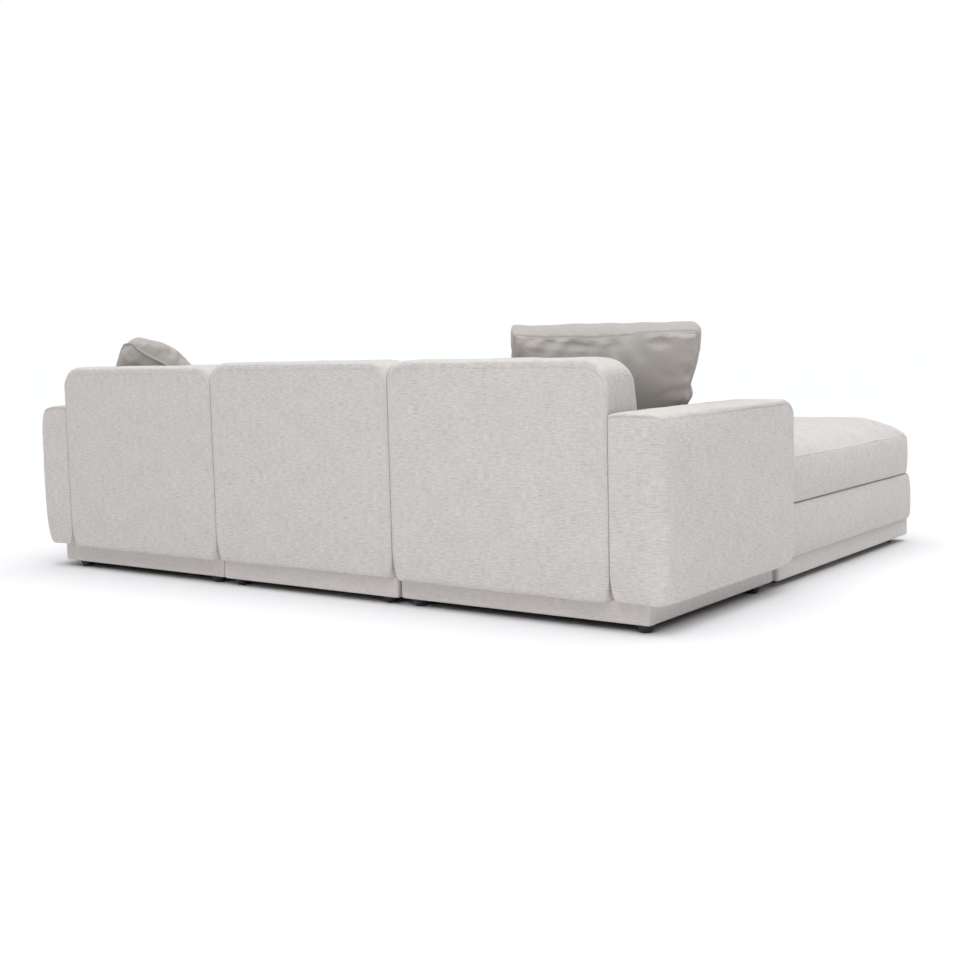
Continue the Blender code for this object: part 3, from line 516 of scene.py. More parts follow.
def ottoman_plan():
    """The ottoman stands in front of the left module."""
    outer = 3 * PANEL_WIDTH + ARM_WIDTH
    plan = Module("ottoman", 2 * PANEL_WIDTH, outer)
    plan.end = outer - OTTOMAN_SIDE_STEP
    plan.front = OTTOMAN_FRONT
    plan.seat_rear = OTTOMAN_REAR
    plan.plinth_rear = OTTOMAN_REAR + FIT
    plan.plinth_front = OTTOMAN_FRONT + OTTOMAN_PLINTH_REACH
    plan.plinth_end = outer - PLINTH_SIDE_STEP
    return plan


# Backs, arms, seats and plinths

def back_cover(plan, first_panel, material):
    """A back: upright behind, leaning in front, with a seam round its rear and its front panel."""
    x0 = row_x((first_panel + 1) * PANEL_WIDTH) + MODULE_GAP / 2
    x1 = row_x(first_panel * PANEL_WIDTH) - MODULE_GAP / 2
    y0, y1 = row_y(BACK_FOOT_DEPTH), row_y(0.0)
    bottom = PLINTH_TOP + FIT
    low, high = np.array((x0, y0, bottom)), np.array((x1, y1, BACK_HEIGHT))
    middle, half = (x0 + x1) / 2, (x1 - x0) / 2
    end_side = {"right": 1, "left": -1}.get(plan.arm, 0)
    seed = SEEDS["back"] + first_panel
    wavelength, gather, width = GATHERS

    def shape(flat):
        points, away = rounded(flat, low, high, TIGHT_ROUND)
        ring = ring_distance(
            flat[:, 0], flat[:, 2], (x0 + TIGHT_ROUND, bottom + TIGHT_ROUND),
            (x1 - TIGHT_ROUND, BACK_HEIGHT - PANEL_SEAM), PANEL_SEAM_ROUND,
        )
        on_panel = (np.abs(away[:, 1]) > FACING) * 1.0
        seam = near(ring, SEAM_WIDTH) * on_panel * PANEL_SEAM_GROOVE_AND_SHADE
        points = sunk(points, away, seam)
        noise = uneven(flat, "back", seed)
        calm = 1.0 - np.abs(away[:, 0])
        corner = np.hypot(half - np.abs(flat[:, 0] - middle), BACK_HEIGHT - flat[:, 2])
        noise += soft_noise(flat * UPRIGHT, wavelength, seed + GATHER_SEED) * gather * near(corner, width)
        points += away * (noise * calm)[:, None]
        height = points[:, 2]
        behind = (y1 - points[:, 1]) / (y1 - y0)
        above = np.maximum(height - SEAM_HEIGHT, 0.0) / (BACK_HEIGHT - SEAM_HEIGHT)
        across = (points[:, 0] - middle) / half
        swell = BACK_SWELL * 4 * above * (1 - above) * (1 - across * across)
        thickness = BACK_FOOT_DEPTH - BACK_LEAN * np.maximum(height - BACK_LEAN_FROM, 0.0)
        points[:, 1] = y1 - behind * (thickness + swell)
        to_rear = np.maximum(y1 - points[:, 1], 0.0)
        fade = draw_in(to_rear, (CORNER_FADE, 1.0))
        outer = (points[:, 0] - middle) * end_side > 0
        top_fade = np.where(outer, fading(to_rear, OUTER_CORNER_FADE), fade)
        tuck = draw_in(height - bottom, BACK_TUCK) * fade
        to_side = np.maximum(half - np.abs(points[:, 0] - middle), 0.0)
        points[:, 0] = middle + (points[:, 0] - middle) * (half - tuck) / half
        share = np.maximum((height - BACK_LEAN_FROM) / (BACK_HEIGHT - BACK_LEAN_FROM), 0.0)
        points[:, 2] -= draw_in(to_side, TOP_CORNER) * share * top_fade
        to_front = np.maximum(points[:, 1] - (y1 - thickness), 0.0)
        points[:, 2] -= draw_in(to_front, BACK_TOP_ROUND) * share
        points[:, 2] -= draw_in(to_rear, BACK_REAR_ROUND) * share
        points[:, 2] -= (draw_in(to_side, BACK_TOP_SIDE) + BACK_SETTLED[plan.name]) * share
        if plan.name == "left":
            free = np.interp(height - ARM_HEIGHT, LEFT_FREE_OVER_ARM, (0.0, 1.0)) * (1 - behind)
            from_side = np.maximum(points[:, 0] - x0, 0.0)
            points[:, 1] -= draw_in(from_side, LEFT_BACK_CORNER) * np.maximum(free, 0.0)
        overhang = fading(to_rear, OVERHANG) * fading(height - bottom, OVERHANG)
        points[:, 2] -= along_table(to_side * np.sign(points[:, 0] - middle), BACK_SAG[plan.name]) * overhang
        return points, seam

    plain = seam_lines()
    lines = block_lines("back", low, high, (plain, plain), (plain, plain), (plain, seam_lines(PANEL_SEAM)))
    return upholstered(plan, "back", lines, shape, material)


def arm_cover(plan, material):
    """An arm: a top panel sewn on all round, round corners and a tuck at the bottom behind."""
    side = -1.0 if plan.arm == "left" else 1.0
    inner = row_x(3 * PANEL_WIDTH) if plan.arm == "left" else row_x(0.0)
    outer = inner + side * ARM_WIDTH
    x0, x1 = min(inner, outer), max(inner, outer)
    y0, y1 = row_y(MODULE_DEPTH), row_y(0.0)
    bottom = PLINTH_TOP + FIT
    low, high = np.array((x0, y0, bottom)), np.array((x1, y1, ARM_HEIGHT))
    swell = ARM_BULGE[plan.arm]
    bulge = (((swell, 0.0) if plan.arm == "left" else (0.0, swell)), (0.0, 0.0), (0.0, ARM_CROWN[plan.arm]))
    seed = SEEDS["arm"] + (plan.arm == "right")

    def shape(flat):
        points, away = rounded(flat, low, high, TIGHT_ROUND)
        seam = level_seam(flat, away, ARM_HEIGHT - ARM_SEAM, ARM_SEAM_GROOVE_AND_SHADE)
        points = sunk(bulged(points, away, low, high, bulge), away, seam)
        noise = uneven(flat, "arm", seed)
        calm = np.clip(1.0 - np.maximum(-away[:, 0] * side, 0.0), 0.0, 1.0)
        points += away * (noise * calm)[:, None]
        height = points[:, 2] - bottom
        from_inner = np.maximum((points[:, 0] - inner) / (outer - inner), 0.0)
        to_outer = np.maximum(1.0 - from_inner, 0.0) * ARM_WIDTH
        to_rear, to_front = np.maximum(y1 - points[:, 1], 0.0), np.maximum(points[:, 1] - y0, 0.0)
        behind, shoulder = fading(to_rear, CORNER_FADE), fading(to_rear, SHOULDER_FADE)
        ahead = fading(to_front, MODULE_DEPTH)
        rise = height / (ARM_HEIGHT - bottom)
        points[:, 0] -= side * draw_in(height, ARM_TUCKS[plan.arm]) * from_inner * behind
        points[:, 0] -= side * draw_in(ARM_HEIGHT - points[:, 2], ARM_SHOULDER) * from_inner * shoulder
        soft = draw_in(to_rear, (CORNER_FADE, 1.0))
        points[:, 0] += side * draw_in(height, INNER_ARM_TUCK) * (1 - np.minimum(from_inner, 1.0)) * soft
        fullness = 1 - ARM_CORNER_SHARPER[plan.arm] * np.clip(2 * rise - 1, -1, 1) ** 4
        reach, depth = ARM_CORNERS[plan.arm]
        points[:, 1] -= draw_in(to_outer, (reach * fullness, depth * fullness)) * behind
        points[:, 1] += draw_in(height, ARM_TOE) * ahead
        points[:, 2] -= draw_in(to_front, ARM_NOSE) * rise
        points[:, 2] -= draw_in(to_outer, ARM_TOP_ROUND[plan.arm]) * rise
        points[:, 2] -= draw_in(from_inner * ARM_WIDTH, ARM_INNER_TOP) * rise * soft
        points[:, 0] -= side * draw_in(to_rear, ARM_REAR_EASE) * from_inner
        return points, seam

    plain = seam_lines()
    wide = plain + list(WIDE_CORNER_LINES)
    ends = (wide, plain) if plan.arm == "left" else (plain, wide)
    lines = block_lines("arm", low, high, ends, (plain, wide), (plain, seam_lines(ARM_SEAM)))
    return upholstered(plan, "arm", lines, shape, material)


def swollen(points, away, low, high, amount):
    """The ottoman's front and outer side pushed out between their edges, round its corner too."""
    level = 2.0 * (points[:, 2] - low[2]) / (high[2] - low[2]) - 1.0
    outward = np.minimum(away[:, :2], 0.0)
    points[:, :2] += outward * (amount * np.maximum(1.0 - level ** 4, 0.0))[:, None]
    return points


def unlike_edges(flat, middle, below, above):
    """The roundings of a block whose lower and upper edges differ."""
    return np.where(flat[:, 2:] > middle, above, below)


def seat_base_cover(plan, material):
    """The upholstered box under a seat cushion, closed by its deck."""
    x0, x1, y0, y1 = plan.seat_box()
    bottom = PLINTH_TOP + FIT
    low, high = np.array((x0, y0, bottom)), np.array((x1, y1, DECK_TOP))
    ottoman = plan.name == "ottoman"
    front = OTTOMAN_FRONT_BULGE if ottoman else SIDE_BULGE
    outer = SIDE_BULGE if ottoman else 0.0
    bulge = ((outer, 0.0), (front, 0.0), (0.0, 0.0))

    def shape(flat):
        edges = unlike_edges(flat, DECK_TOP - BASE_TOP_REACH, EDGE_ROUND, BASE_TOP_ROUND)
        points, away = rounded(flat, low, high, edges)
        points = bulged(points, away, low, high, bulge)
        if ottoman:
            points = swollen(points, away, low, high, OTTOMAN_SWELL["base"])
        noise = uneven(flat, "seat_base", SEEDS["seat_base"] + len(plan.name))
        calm = np.maximum(-away[:, 1], 0.0) + (np.maximum(-away[:, 0], 0.0) if ottoman else 0.0)
        points += away * (noise * calm)[:, None]
        return points, np.zeros(len(points))

    lines = block_lines("seat_base", low, high, *[(seam_lines(), seam_lines())] * 3)
    return upholstered(plan, "seat_base", lines, shape, material)


def seat_cushion_cover(plan, material):
    """A boxed seat cushion: its top crowned and sewn on all round, its corners drawn in."""
    x0, x1, y0, y1 = plan.seat_box()
    ottoman = plan.name == "ottoman"
    x0, x1, y1 = (x0 if ottoman else x0 + CUSHION_GAP), x1 - CUSHION_GAP, y1 - CUSHION_GAP
    bottom, top = DECK_TOP + FIT, OTTOMAN_SEAM_HEIGHT if ottoman else SEAM_HEIGHT
    crown, fullness = (OTTOMAN_CROWN, OTTOMAN_FULLNESS) if ottoman else (SEAT_CROWN, CROWN_FULLNESS)
    low, high = np.array((x0, y0, bottom)), np.array((x1, y1, top))
    centre = (low + high) / 2
    bulge = ((SIDE_BULGE if ottoman else 0.0, 0.0), (SIDE_BULGE, 0.0), (0.0, 0.0))
    top_seam = top - SEAT_SEAM
    seed = SEEDS["seat_cushion"] + len(plan.name)

    def shape(flat):
        edges = unlike_edges(flat, centre[2], CLOSE_ROUND, OTTOMAN_ROUND if ottoman else PLUMP_ROUND)
        points, away = rounded(flat, low, high, edges)
        points = bulged(points, away, low, high, bulge)
        if ottoman:
            points = swollen(points, away, low, high, OTTOMAN_SWELL["cushion"])
        seam = level_seam(flat, away, top_seam, 1.0)
        points = sunk(points, away, seam)
        across = np.clip(np.abs(2 * (points[:, 0] - x0) / (x1 - x0) - 1), 0, 1)
        along = np.clip(np.abs(2 * (points[:, 1] - y0) / (y1 - y0) - 1), 0, 1)
        rise = crown * (1 - across ** fullness) * (1 - along ** fullness)
        rise += uneven(flat, "seat_cushion", seed) * (rise > 0)
        upper = points[:, 2] > centre[2]
        points[:, 2] += np.where(upper, rise * (points[:, 2] - centre[2]) / (high[2] - centre[2]), 0.0)
        to_side = np.maximum(np.minimum(points[:, 0] - x0, x1 - points[:, 0]), 0.0)
        to_end = np.maximum(np.minimum(points[:, 1] - y0, y1 - points[:, 1]), 0.0)
        drawn = draw_in(to_side, CUSHION_CORNER) * fading(to_end, CUSHION_CORNER[0])
        points[:, 1] += np.sign(centre[1] - points[:, 1]) * drawn
        return points, seam

    plain = seam_lines()
    lines = block_lines(
        "seat_cushion", low, high, (plain, plain), (plain, plain), (plain, seam_lines(SEAT_SEAM))
    )
    made = skin(plan.name + "_seat_cushion_cover", lines, shape)
    flat = lattice(lines)[0]
    held = np.maximum(near(flat[:, 2] - top_seam, HELD_WIDTH), (flat[:, 2] < DECK_TOP + SEAT_HOLD) * 1.0)
    free = SIDE_BULGE + SEAT_FREE
    low_limit = (x0 - (free if ottoman else SEAT_PLAY), y0 - free, bottom)
    high_limit = (x1 + SEAT_PLAY, y1 + SEAT_PLAY, 1.0)
    tight = (flat[:, 2] < high[2] - 0.001) * 1.0
    puffed(made, held, tight, SEAT_SWELLING, seed, (low_limit, high_limit))
    smoothed(made)
    return dressed(
        made, plan.name + "_cushion_body", [plan.name + "_seat_cushion"], material
    )


def plinth_cover(plan, material):
    """The base wrapped in the same cloth, painted lighter as painted light, pulled round its lower edge."""
    x0, x1 = row_x(plan.plinth_end), row_x(plan.plinth_start)
    y0, y1 = row_y(plan.plinth_front), row_y(plan.plinth_rear)
    if plan.name == "ottoman":
        x0, y0 = x0 - OTTOMAN_PLINTH_MORE[0], y0 - OTTOMAN_PLINTH_MORE[1]
    if plan.name == "middle":
        y1 += MIDDLE_PLINTH_MORE
    if plan.name in ("right", "middle"):
        x0 += PLINTH_JOINT
    if plan.name in ("left", "middle"):
        x1 -= PLINTH_JOINT
    low, high = np.array((x0, y0, PLINTH_BOTTOM - PLINTH_HANG)), np.array((x1, y1, PLINTH_TOP))

    def shape(flat):
        tall = high + np.array((0.0, 0.0, PLINTH_TALLER))
        points, away = rounded(flat, low, tall, PLINTH_ROUND)
        noise = uneven(flat * UPRIGHT, "plinth", SEEDS["plinth"] + len(plan.name))
        points += away * np.minimum(noise, 0.0)[:, None] * (np.abs(away[:, 2]) < 0.5)[:, None]
        inward = np.minimum(flat - low, high - flat)[:, :2].min(axis=1)
        under = flat[:, 2] < low[2] + 0.001
        points[:, 2] += np.interp(inward, PLINTH_RIM, (0.0, PLINTH_HANG + FIT)) * under
        return points, np.zeros(len(points))

    rim = seam_lines() + [0.020, PLINTH_RIM[1]]
    lines = block_lines("plinth", low, high, (rim, rim), (rim, rim), (PLINTH_FOOT_LINES, (0.0,)))
    return upholstered(plan, "plinth", lines, shape, material)


# Loose cushions

def stood(node, turns):
    """The matrix that stands a cushion lying flat about the origin where its node is."""
    turn, lean, roll = (math.radians(angle) for angle in turns)
    way = (
        Matrix.Rotation(turn, 3, "Z") @ Matrix.Rotation(-lean, 3, "X")
        @ Matrix.Rotation(roll, 3, "Y") @ Matrix.Rotation(math.radians(90), 3, "X")
    )
    axes = np.array(way)
    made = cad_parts[node]
    places = np.array([made.matrix_world @ vertex.co for vertex in made.data.vertices]) @ axes
    centre = axes @ ((places.min(axis=0) + places.max(axis=0)) / 2)
    return Matrix.Translation(centre.tolist()) @ way.to_4x4()


def point_group(made, name, values):
    """A vertex group of the given strengths."""
    group = made.vertex_groups.new(name=name)
    for number in np.nonzero(values > 0.02)[0]:
        group.add([int(number)], float(values[number]), "REPLACE")


def coordinates(mesh):
    """The places of a mesh's points as an array."""
    found = np.empty(len(mesh.vertices) * 3)
    mesh.vertices.foreach_get("co", found)
    return found.reshape(-1, 3)


def puffed(made, held, tight, swelling, seed, limits=None, frames=20):
    """Lets the cloth of a stuffed cover swell and crease between its held points.

    The cloth is cut larger than its shape by up to growth, unevenly and less where it is tight. No point
    moves further than cap.
    """
    cap, pressure, growth = swelling
    before = coordinates(made.data)
    point_group(made, "held", held)
    point_group(made, "cut", np.clip(0.5 + 0.5 * soft_noise(before, CUT_WAVELENGTH, seed) + tight, 0.0, 1.0))
    cloth = made.modifiers.new("cloth", "CLOTH")
    settings = cloth.settings
    settings.quality = 6
    settings.mass = 0.3
    settings.tension_stiffness = settings.compression_stiffness = 20
    settings.shear_stiffness = 8
    settings.bending_stiffness = 0.3
    settings.vertex_group_mass = "held"
    settings.use_pressure = True
    settings.uniform_pressure_force = pressure
    settings.shrink_min, settings.shrink_max = -growth, -0.2 * growth
    settings.vertex_group_shrink = "cut"
    settings.effector_weights.gravity = 0.0
    cloth.point_cache.frame_start, cloth.point_cache.frame_end = 1, frames
    scene = bpy.context.scene
    for number in range(1, frames + 1):
        scene.frame_set(number)
    graph = bpy.context.evaluated_depsgraph_get()
    after = coordinates(made.evaluated_get(graph).to_mesh())
    made.evaluated_get(graph).to_mesh_clear()
    made.modifiers.remove(cloth)
    made.vertex_groups.clear()
    moved = after - before
    length = np.linalg.norm(moved, axis=1, keepdims=True)
    after = before + moved * cap * np.tanh(length / cap) / np.maximum(length, 1e-9)
    if limits:
        after = np.clip(after, *limits)
    made.data.vertices.foreach_set("co", after.ravel())
    scene.frame_set(1)
    return made


def kept_clear(made, neighbours, gap=0.002, reach=0.06):
    """Moves the points of a loose cushion out of the pieces that it leans on."""
    graph = bpy.context.evaluated_depsgraph_get()
    trees = [BVHTree.FromObject(other, graph) for other in neighbours]
    points = coordinates(made.data)
    for point in points:
        for tree in trees:
            spot, normal, _, _ = tree.find_nearest(Vector(point), reach)
            if spot is None:
                continue
            depth = gap - (Vector(point) - spot).dot(normal)
            if depth > 0.0:
                point += np.array(normal) * depth
    made.data.vertices.foreach_set("co", points.ravel())
    made.data.update()


def place(made, matrix):
    """Turns a cushion's own mesh to its place, so that the object stays at the origin."""
    made.data.transform(matrix)
    made.data.update()


def along_table(values, table):
    """Values read off a table of pairs."""
    return np.interp(values, *zip(*table))


def back_cushion_cover(material, neighbours):
    """The big boxed cushion: a band sewn on with seams, crowned faces, puckers and a slack corner."""
    width, height, band = BACK_CUSHION_SIZE
    high = np.array(BACK_CUSHION_SIZE) / 2
    low = -high
    seed = SEEDS["back_cushion"]

    def shape(flat):
        to_left = flat[:, 0] / width
        edges = np.stack((
            np.where(to_left > 0, CRISP_ROUND, CUSHION_ROUND[0]),
            np.interp(to_left, (0.1, 0.5), (CUSHION_ROUND[1], CRISP_ROUND)),
            np.full(len(flat), CUSHION_ROUND[2]),
        ), axis=-1)
        points, away = rounded(flat, low, high, edges)
        on_band = np.abs(away[:, 2]) < FACING
        seam = near(np.abs(flat[:, 2]) - (band / 2 - CUSHION_SEAM), FINE_SEAM_WIDTH) * on_band
        points = sunk(points, away, seam)
        across, along = 2 * points[:, 0] / width, 2 * points[:, 1] / height
        fall = np.maximum(1 - across ** 2, 0) * np.maximum(1 - along ** 2, 0)
        points[:, 2] += BACK_CUSHION_CROWN * away[:, 2] * fall ** BACK_CUSHION_FULLNESS
        points += away * (BAND_BULGE * on_band * np.maximum(1 - (2 * flat[:, 2] / band) ** 2, 0))[:, None]
        rear = np.clip(-2 * flat[:, 2] / band, 0.0, 1.0) ** 1.5
        top = near(np.maximum(height / 2 - flat[:, 1], 0.0), TOP_SEAM_WIDTH)
        points[:, 1] -= along_table(across, TOP_SEAM_DROP) * rear * top
        for side in (-1, 1):
            beside = near(np.maximum(width / 2 - side * flat[:, 0], 0.0), SIDE_SEAM_WIDTH)
            points[:, 0] -= side * SIDE_SEAM_INSETS[side] * rear * beside
        points[:, 0] += along_table(points[:, 1], SLACK_SIDE) * np.maximum(-across, 0.0) ** 3
        points[:, 0] -= LEFT_SIDE_IN * np.maximum(across, 0.0) ** 3
        points[:, 1] -= TOP_IN * np.maximum(along, 0.0) ** 3
        to_edge = np.minimum(width / 2 - np.abs(flat[:, 0]), height / 2 - np.abs(flat[:, 1]))
        points = puckered(points, flat, away, to_edge, CUSHION_PUCKERS, seed + 1)
        points += away * uneven(flat, "back_cushion", seed)[:, None]
        return points, seam

    plain, seamed = (seam_lines(),) * 2, (seam_lines(CUSHION_SEAM),) * 2
    lines = block_lines("back_cushion", low, high, plain, plain, seamed)
    made = skin("back_cushion_cover", lines, shape)
    flat = lattice(lines)[0]
    at_seam = near(np.abs(flat[:, 2]) - (band / 2 - CUSHION_SEAM), HELD_WIDTH)
    outer = (np.abs(flat[:, 0]) > width / 2 - 1e-6) | (np.abs(flat[:, 1]) > height / 2 - 1e-6)
    puffed(made, at_seam * outer, outer * 1.0, BACK_CUSHION_SWELLING, seed)
    place(made, stood("back_cushion", BACK_CUSHION_TURNS))
    kept_clear(made, neighbours)
    smoothed(made)
    return dressed(made, "back_cushion_body", ["back_cushion"], material)


def rim_path(made, index):
    """The middle line of a flat block's rim, as a closed mesh path of its present places."""
    points = coordinates(made.data)
    rows = [index[:, 0], index[-1, 1:], index[-2::-1, -1], index[0, -2:0:-1]]
    ring = np.concatenate(rows)
    path = points[ring].mean(axis=1)
    mesh = bpy.data.meshes.new(made.name + "_rim")
    count = len(path)
    mesh.from_pydata(path.tolist(), [(i, (i + 1) % count) for i in range(count)], [])
    return mesh


def throw_pillow_cover(material, neighbours):
    """The small pillow: two panels sewn along a knife edge with a fine welt."""
    side, _, edge = PILLOW_SIZE
    high = np.array(PILLOW_SIZE) / 2
    low = -high
    seed = SEEDS["throw_pillow"]

    def shape(flat):
        points, away = rounded(flat, low, high, edge / 2 - 0.0005)
        across, along = 2 * points[:, 0] / side, 2 * points[:, 1] / side
        inner = 1 - 2 * PILLOW_LIP / side
        fall = np.maximum(1 - (across / inner) ** 2, 0) * np.maximum(1 - (along / inner) ** 2, 0)
        points[:, 2] *= PILLOW_LIP_THIN
        points[:, 2] += PILLOW_CROWN * away[:, 2] * fall ** PILLOW_FULLNESS
        points[:, 0] -= PILLOW_WAIST * across * (1 - along ** 2)
        points[:, 1] -= PILLOW_WAIST * np.minimum(along, 0.0) * (1 - across ** 2)
        across_at, along_at, puff_width, puff = PILLOW_FRONT_PUFF
        from_puff = np.hypot(flat[:, 0] + side / 2 - across_at, side / 2 - flat[:, 1] - along_at)
        points[:, 2] += puff * near(from_puff, puff_width) * np.maximum(away[:, 2], 0.0)
        points[:, 2] += along_table(side / 2 - flat[:, 1], PILLOW_SEAM_WAVE) * np.maximum(-across, 0) ** 3
        points[:, 1] += along_table(flat[:, 0] + side / 2, PILLOW_SIDE_BOW) * np.maximum(along, 0) ** 3
        from_corner = np.hypot(flat[:, 0] + side / 2, flat[:, 1] - side / 2)
        pull = near(from_corner, PILLOW_CORNER_WIDTH) * PILLOW_CORNER_PULL
        points[:, 0] += pull
        points[:, 1] -= pull
        from_edge = side / 2 * (1 - np.maximum(np.abs(across), np.abs(along)))
        points = puckered(points, flat, away, from_edge, PILLOW_PUCKERS, seed + 1)
        # This seam strength has no groove and only paints shade along the rim
        return points, near(from_edge - PILLOW_LIP, FINE_SEAM_WIDTH) * PILLOW_SEAM_PAINTED_SHADE

    rim = (PILLOW_LINES, PILLOW_LINES)
    lines = block_lines("throw_pillow", low, high, rim, rim, ((0.0,), (0.0,)))
    made = skin("throw_pillow_cover", lines, shape)
    flat, index = lattice(lines)
    from_edge = side / 2 - np.maximum(np.abs(flat[:, 0]), np.abs(flat[:, 1]))
    from_corner = np.hypot(flat[:, 0] + side / 2, flat[:, 1] - side / 2)
    held = np.maximum(near(from_edge, PILLOW_LIP), near(from_corner, HELD_CORNER))
    puffed(made, held, 0.0, PILLOW_SWELLING, seed)
    place(made, stood("throw_pillow", PILLOW_TURNS))
    kept_clear(made, neighbours)
    path = rim_path(made, index[:, :, 1:-1])
    smoothed(made)
    values = {"Radius": WELT_RADIUS, "Sides": WELT_SIDES, "Finish": material}
    welt = grown("throw_pillow_welt", path, welt_tree(), values)
    flat_map(welt.data)
    dressed(welt, "throw_pillow_body", [], material)
    return dressed(made, "throw_pillow_body", ["throw_pillow"], material)


# Pieces made by Geometry Nodes

def geometry_tree(name, inputs):
    """An empty Geometry Nodes tree with named inputs, and its input and output nodes."""
    tree = bpy.data.node_groups.new(name, "GeometryNodeTree")
    tree.interface.new_socket(name="Geometry", in_out="INPUT", socket_type="NodeSocketGeometry")
    for title, kind in inputs:
        tree.interface.new_socket(name=title, in_out="INPUT", socket_type=kind)
    tree.interface.new_socket(name="Geometry", in_out="OUTPUT", socket_type="NodeSocketGeometry")
    return tree, tree.nodes.new("NodeGroupInput"), tree.nodes.new("NodeGroupOutput")


def finished(tree, geometry, finish, out):
    """Realizes the instances, sets the material and closes a tree."""
    real = wired(tree.nodes, "GeometryNodeRealizeInstances", Geometry=geometry)
    painted = wired(tree.nodes, "GeometryNodeSetMaterial", Geometry=real.outputs[0], Material=finish)
    tree.links.new(painted.outputs[0], out.inputs[0])
    return tree


def points_tree():
    """One piece on each point."""
    tree, given, out = geometry_tree(
        "pieces_on_points", [("Piece", "NodeSocketObject"), ("Finish", "NodeSocketMaterial")]
    )
    nodes = tree.nodes
    piece = wired(nodes, "GeometryNodeObjectInfo", Object=given.outputs["Piece"])
    spread = wired(
        nodes, "GeometryNodeInstanceOnPoints", Points=given.outputs[0], Instance=piece.outputs["Geometry"]
    )
    return finished(tree, spread.outputs[0], given.outputs["Finish"], out)


def row_tree():
    """Pieces in a row along paths, each turned along its path."""
    tree, given, out = geometry_tree("pieces_along_paths", [
        ("Piece", "NodeSocketObject"), ("Spacing", "NodeSocketFloat"), ("Finish", "NodeSocketMaterial"),
    ])
    nodes = tree.nodes
    paths = wired(nodes, "GeometryNodeMeshToCurve", Mesh=given.outputs[0])
    even = wired(
        nodes, "GeometryNodeResampleCurve", {"mode": "LENGTH"},
        Curve=paths.outputs[0], Length=given.outputs["Spacing"],
    )
    tangent = wired(nodes, "GeometryNodeInputTangent")
    turn = wired(nodes, "FunctionNodeAlignRotationToVector", {"axis": "X"}, Vector=tangent.outputs[0])
    piece = wired(nodes, "GeometryNodeObjectInfo", Object=given.outputs["Piece"])
    spread = wired(
        nodes, "GeometryNodeInstanceOnPoints", Points=even.outputs[0], Instance=piece.outputs["Geometry"],
        Rotation=turn.outputs[0],
    )
    return finished(tree, spread.outputs[0], given.outputs["Finish"], out)


def welt_tree():
    """A round welt swept along closed paths."""
    tree, given, out = geometry_tree("welt_along_paths", [
        ("Radius", "NodeSocketFloat"), ("Sides", "NodeSocketInt"), ("Finish", "NodeSocketMaterial"),
    ])
    nodes = tree.nodes
    paths = wired(nodes, "GeometryNodeMeshToCurve", Mesh=given.outputs[0])
    section = wired(
        nodes, "GeometryNodeCurvePrimitiveCircle",
        Resolution=given.outputs["Sides"], Radius=given.outputs["Radius"],
    )
    swept = wired(
        nodes, "GeometryNodeCurveToMesh", **{"Curve": paths.outputs[0], "Profile Curve": section.outputs[0]}
    )
    smooth = wired(nodes, "GeometryNodeSetShadeSmooth", Geometry=swept.outputs[0])
    return finished(tree, smooth.outputs[0], given.outputs["Finish"], out)


def grown(name, base, tree, values):
    """The plain mesh object that a tree makes from a base mesh and the named values."""
    seed = linked(name + "_base", base)
    maker = seed.modifiers.new("maker", "NODES")
    maker.node_group = tree
    for item in tree.interface.items_tree:
        if item.in_out == "INPUT" and item.name in values:
            maker[item.identifier] = values[item.name]
    graph = bpy.context.evaluated_depsgraph_get()
    mesh = bpy.data.meshes.new_from_object(seed.evaluated_get(graph))
    bpy.data.objects.remove(seed)
    return linked(name, mesh)


def flat_map(mesh):
    """A UV map in metres for narrow trim, read straight off its places."""
    corners = np.empty(len(mesh.loops), np.int32)
    mesh.loops.foreach_get("vertex_index", corners)
    points = coordinates(mesh)[corners]
    layer = mesh.uv_layers.new(name="cloth")
    places = np.stack((points[:, 0] + points[:, 1], points[:, 2]), axis=-1)
    layer.data.foreach_set("uv", places.astype(np.float32).ravel())


def turned(name, profile, sides):
    """A closed body turned from (radius, height) pairs, the first and the last on its axis."""
    mesh = bpy.data.meshes.new(name)
    angles = [math.tau * step / sides for step in range(sides)]
    points = [(0.0, 0.0, profile[0][1])]
    for radius, height in profile[1:-1]:
        points += [(radius * math.cos(angle), radius * math.sin(angle), height) for angle in angles]
    points.append((0.0, 0.0, profile[-1][1]))
    faces = [(0, 1 + (i + 1) % sides, 1 + i) for i in range(sides)]
    for ring in range(len(profile) - 3):
        lower, upper = 1 + ring * sides, 1 + (ring + 1) * sides
        around = [(i, (i + 1) % sides) for i in range(sides)]
        faces += [(lower + a, lower + b, upper + b, upper + a) for a, b in around]
    last = len(points) - 1
    faces += [(last, last - sides + i, last - sides + (i + 1) % sides) for i in range(sides)]
    mesh.from_pydata(points, [], faces)
    mesh.shade_smooth()
    mesh.set_sharp_from_angle(angle=math.radians(SHARP_EDGE))
    return bpy.data.objects.new(name, mesh)


def staple(name):
    """A staple: its back below z = 0, its legs going up."""
    length, width, thick = STAPLE_SIZE
    half, leg = length / 2, 4 * thick
    outline = [
        (-half, leg), (-half, -thick), (half, -thick), (half, leg),
        (half - thick, leg), (half - thick, 0.0), (thick - half, 0.0), (thick - half, leg),
    ]
    points = [(x, y, z) for y in (-width / 2, width / 2) for x, z in outline]
    faces = [(i, (i + 1) % 8, 8 + (i + 1) % 8, 8 + i) for i in range(8)]
    for quad in ((0, 7, 6, 1), (1, 6, 5, 2), (2, 5, 4, 3)):
        faces += [quad, tuple(8 + number for number in reversed(quad))]
    mesh = bpy.data.meshes.new(name)
    mesh.from_pydata(points, [], faces)
    bm = bmesh.new()
    bm.from_mesh(mesh)
    bmesh.ops.recalc_face_normals(bm, faces=bm.faces)
    bm.to_mesh(mesh)
    bm.free()
    return bpy.data.objects.new(name, mesh)


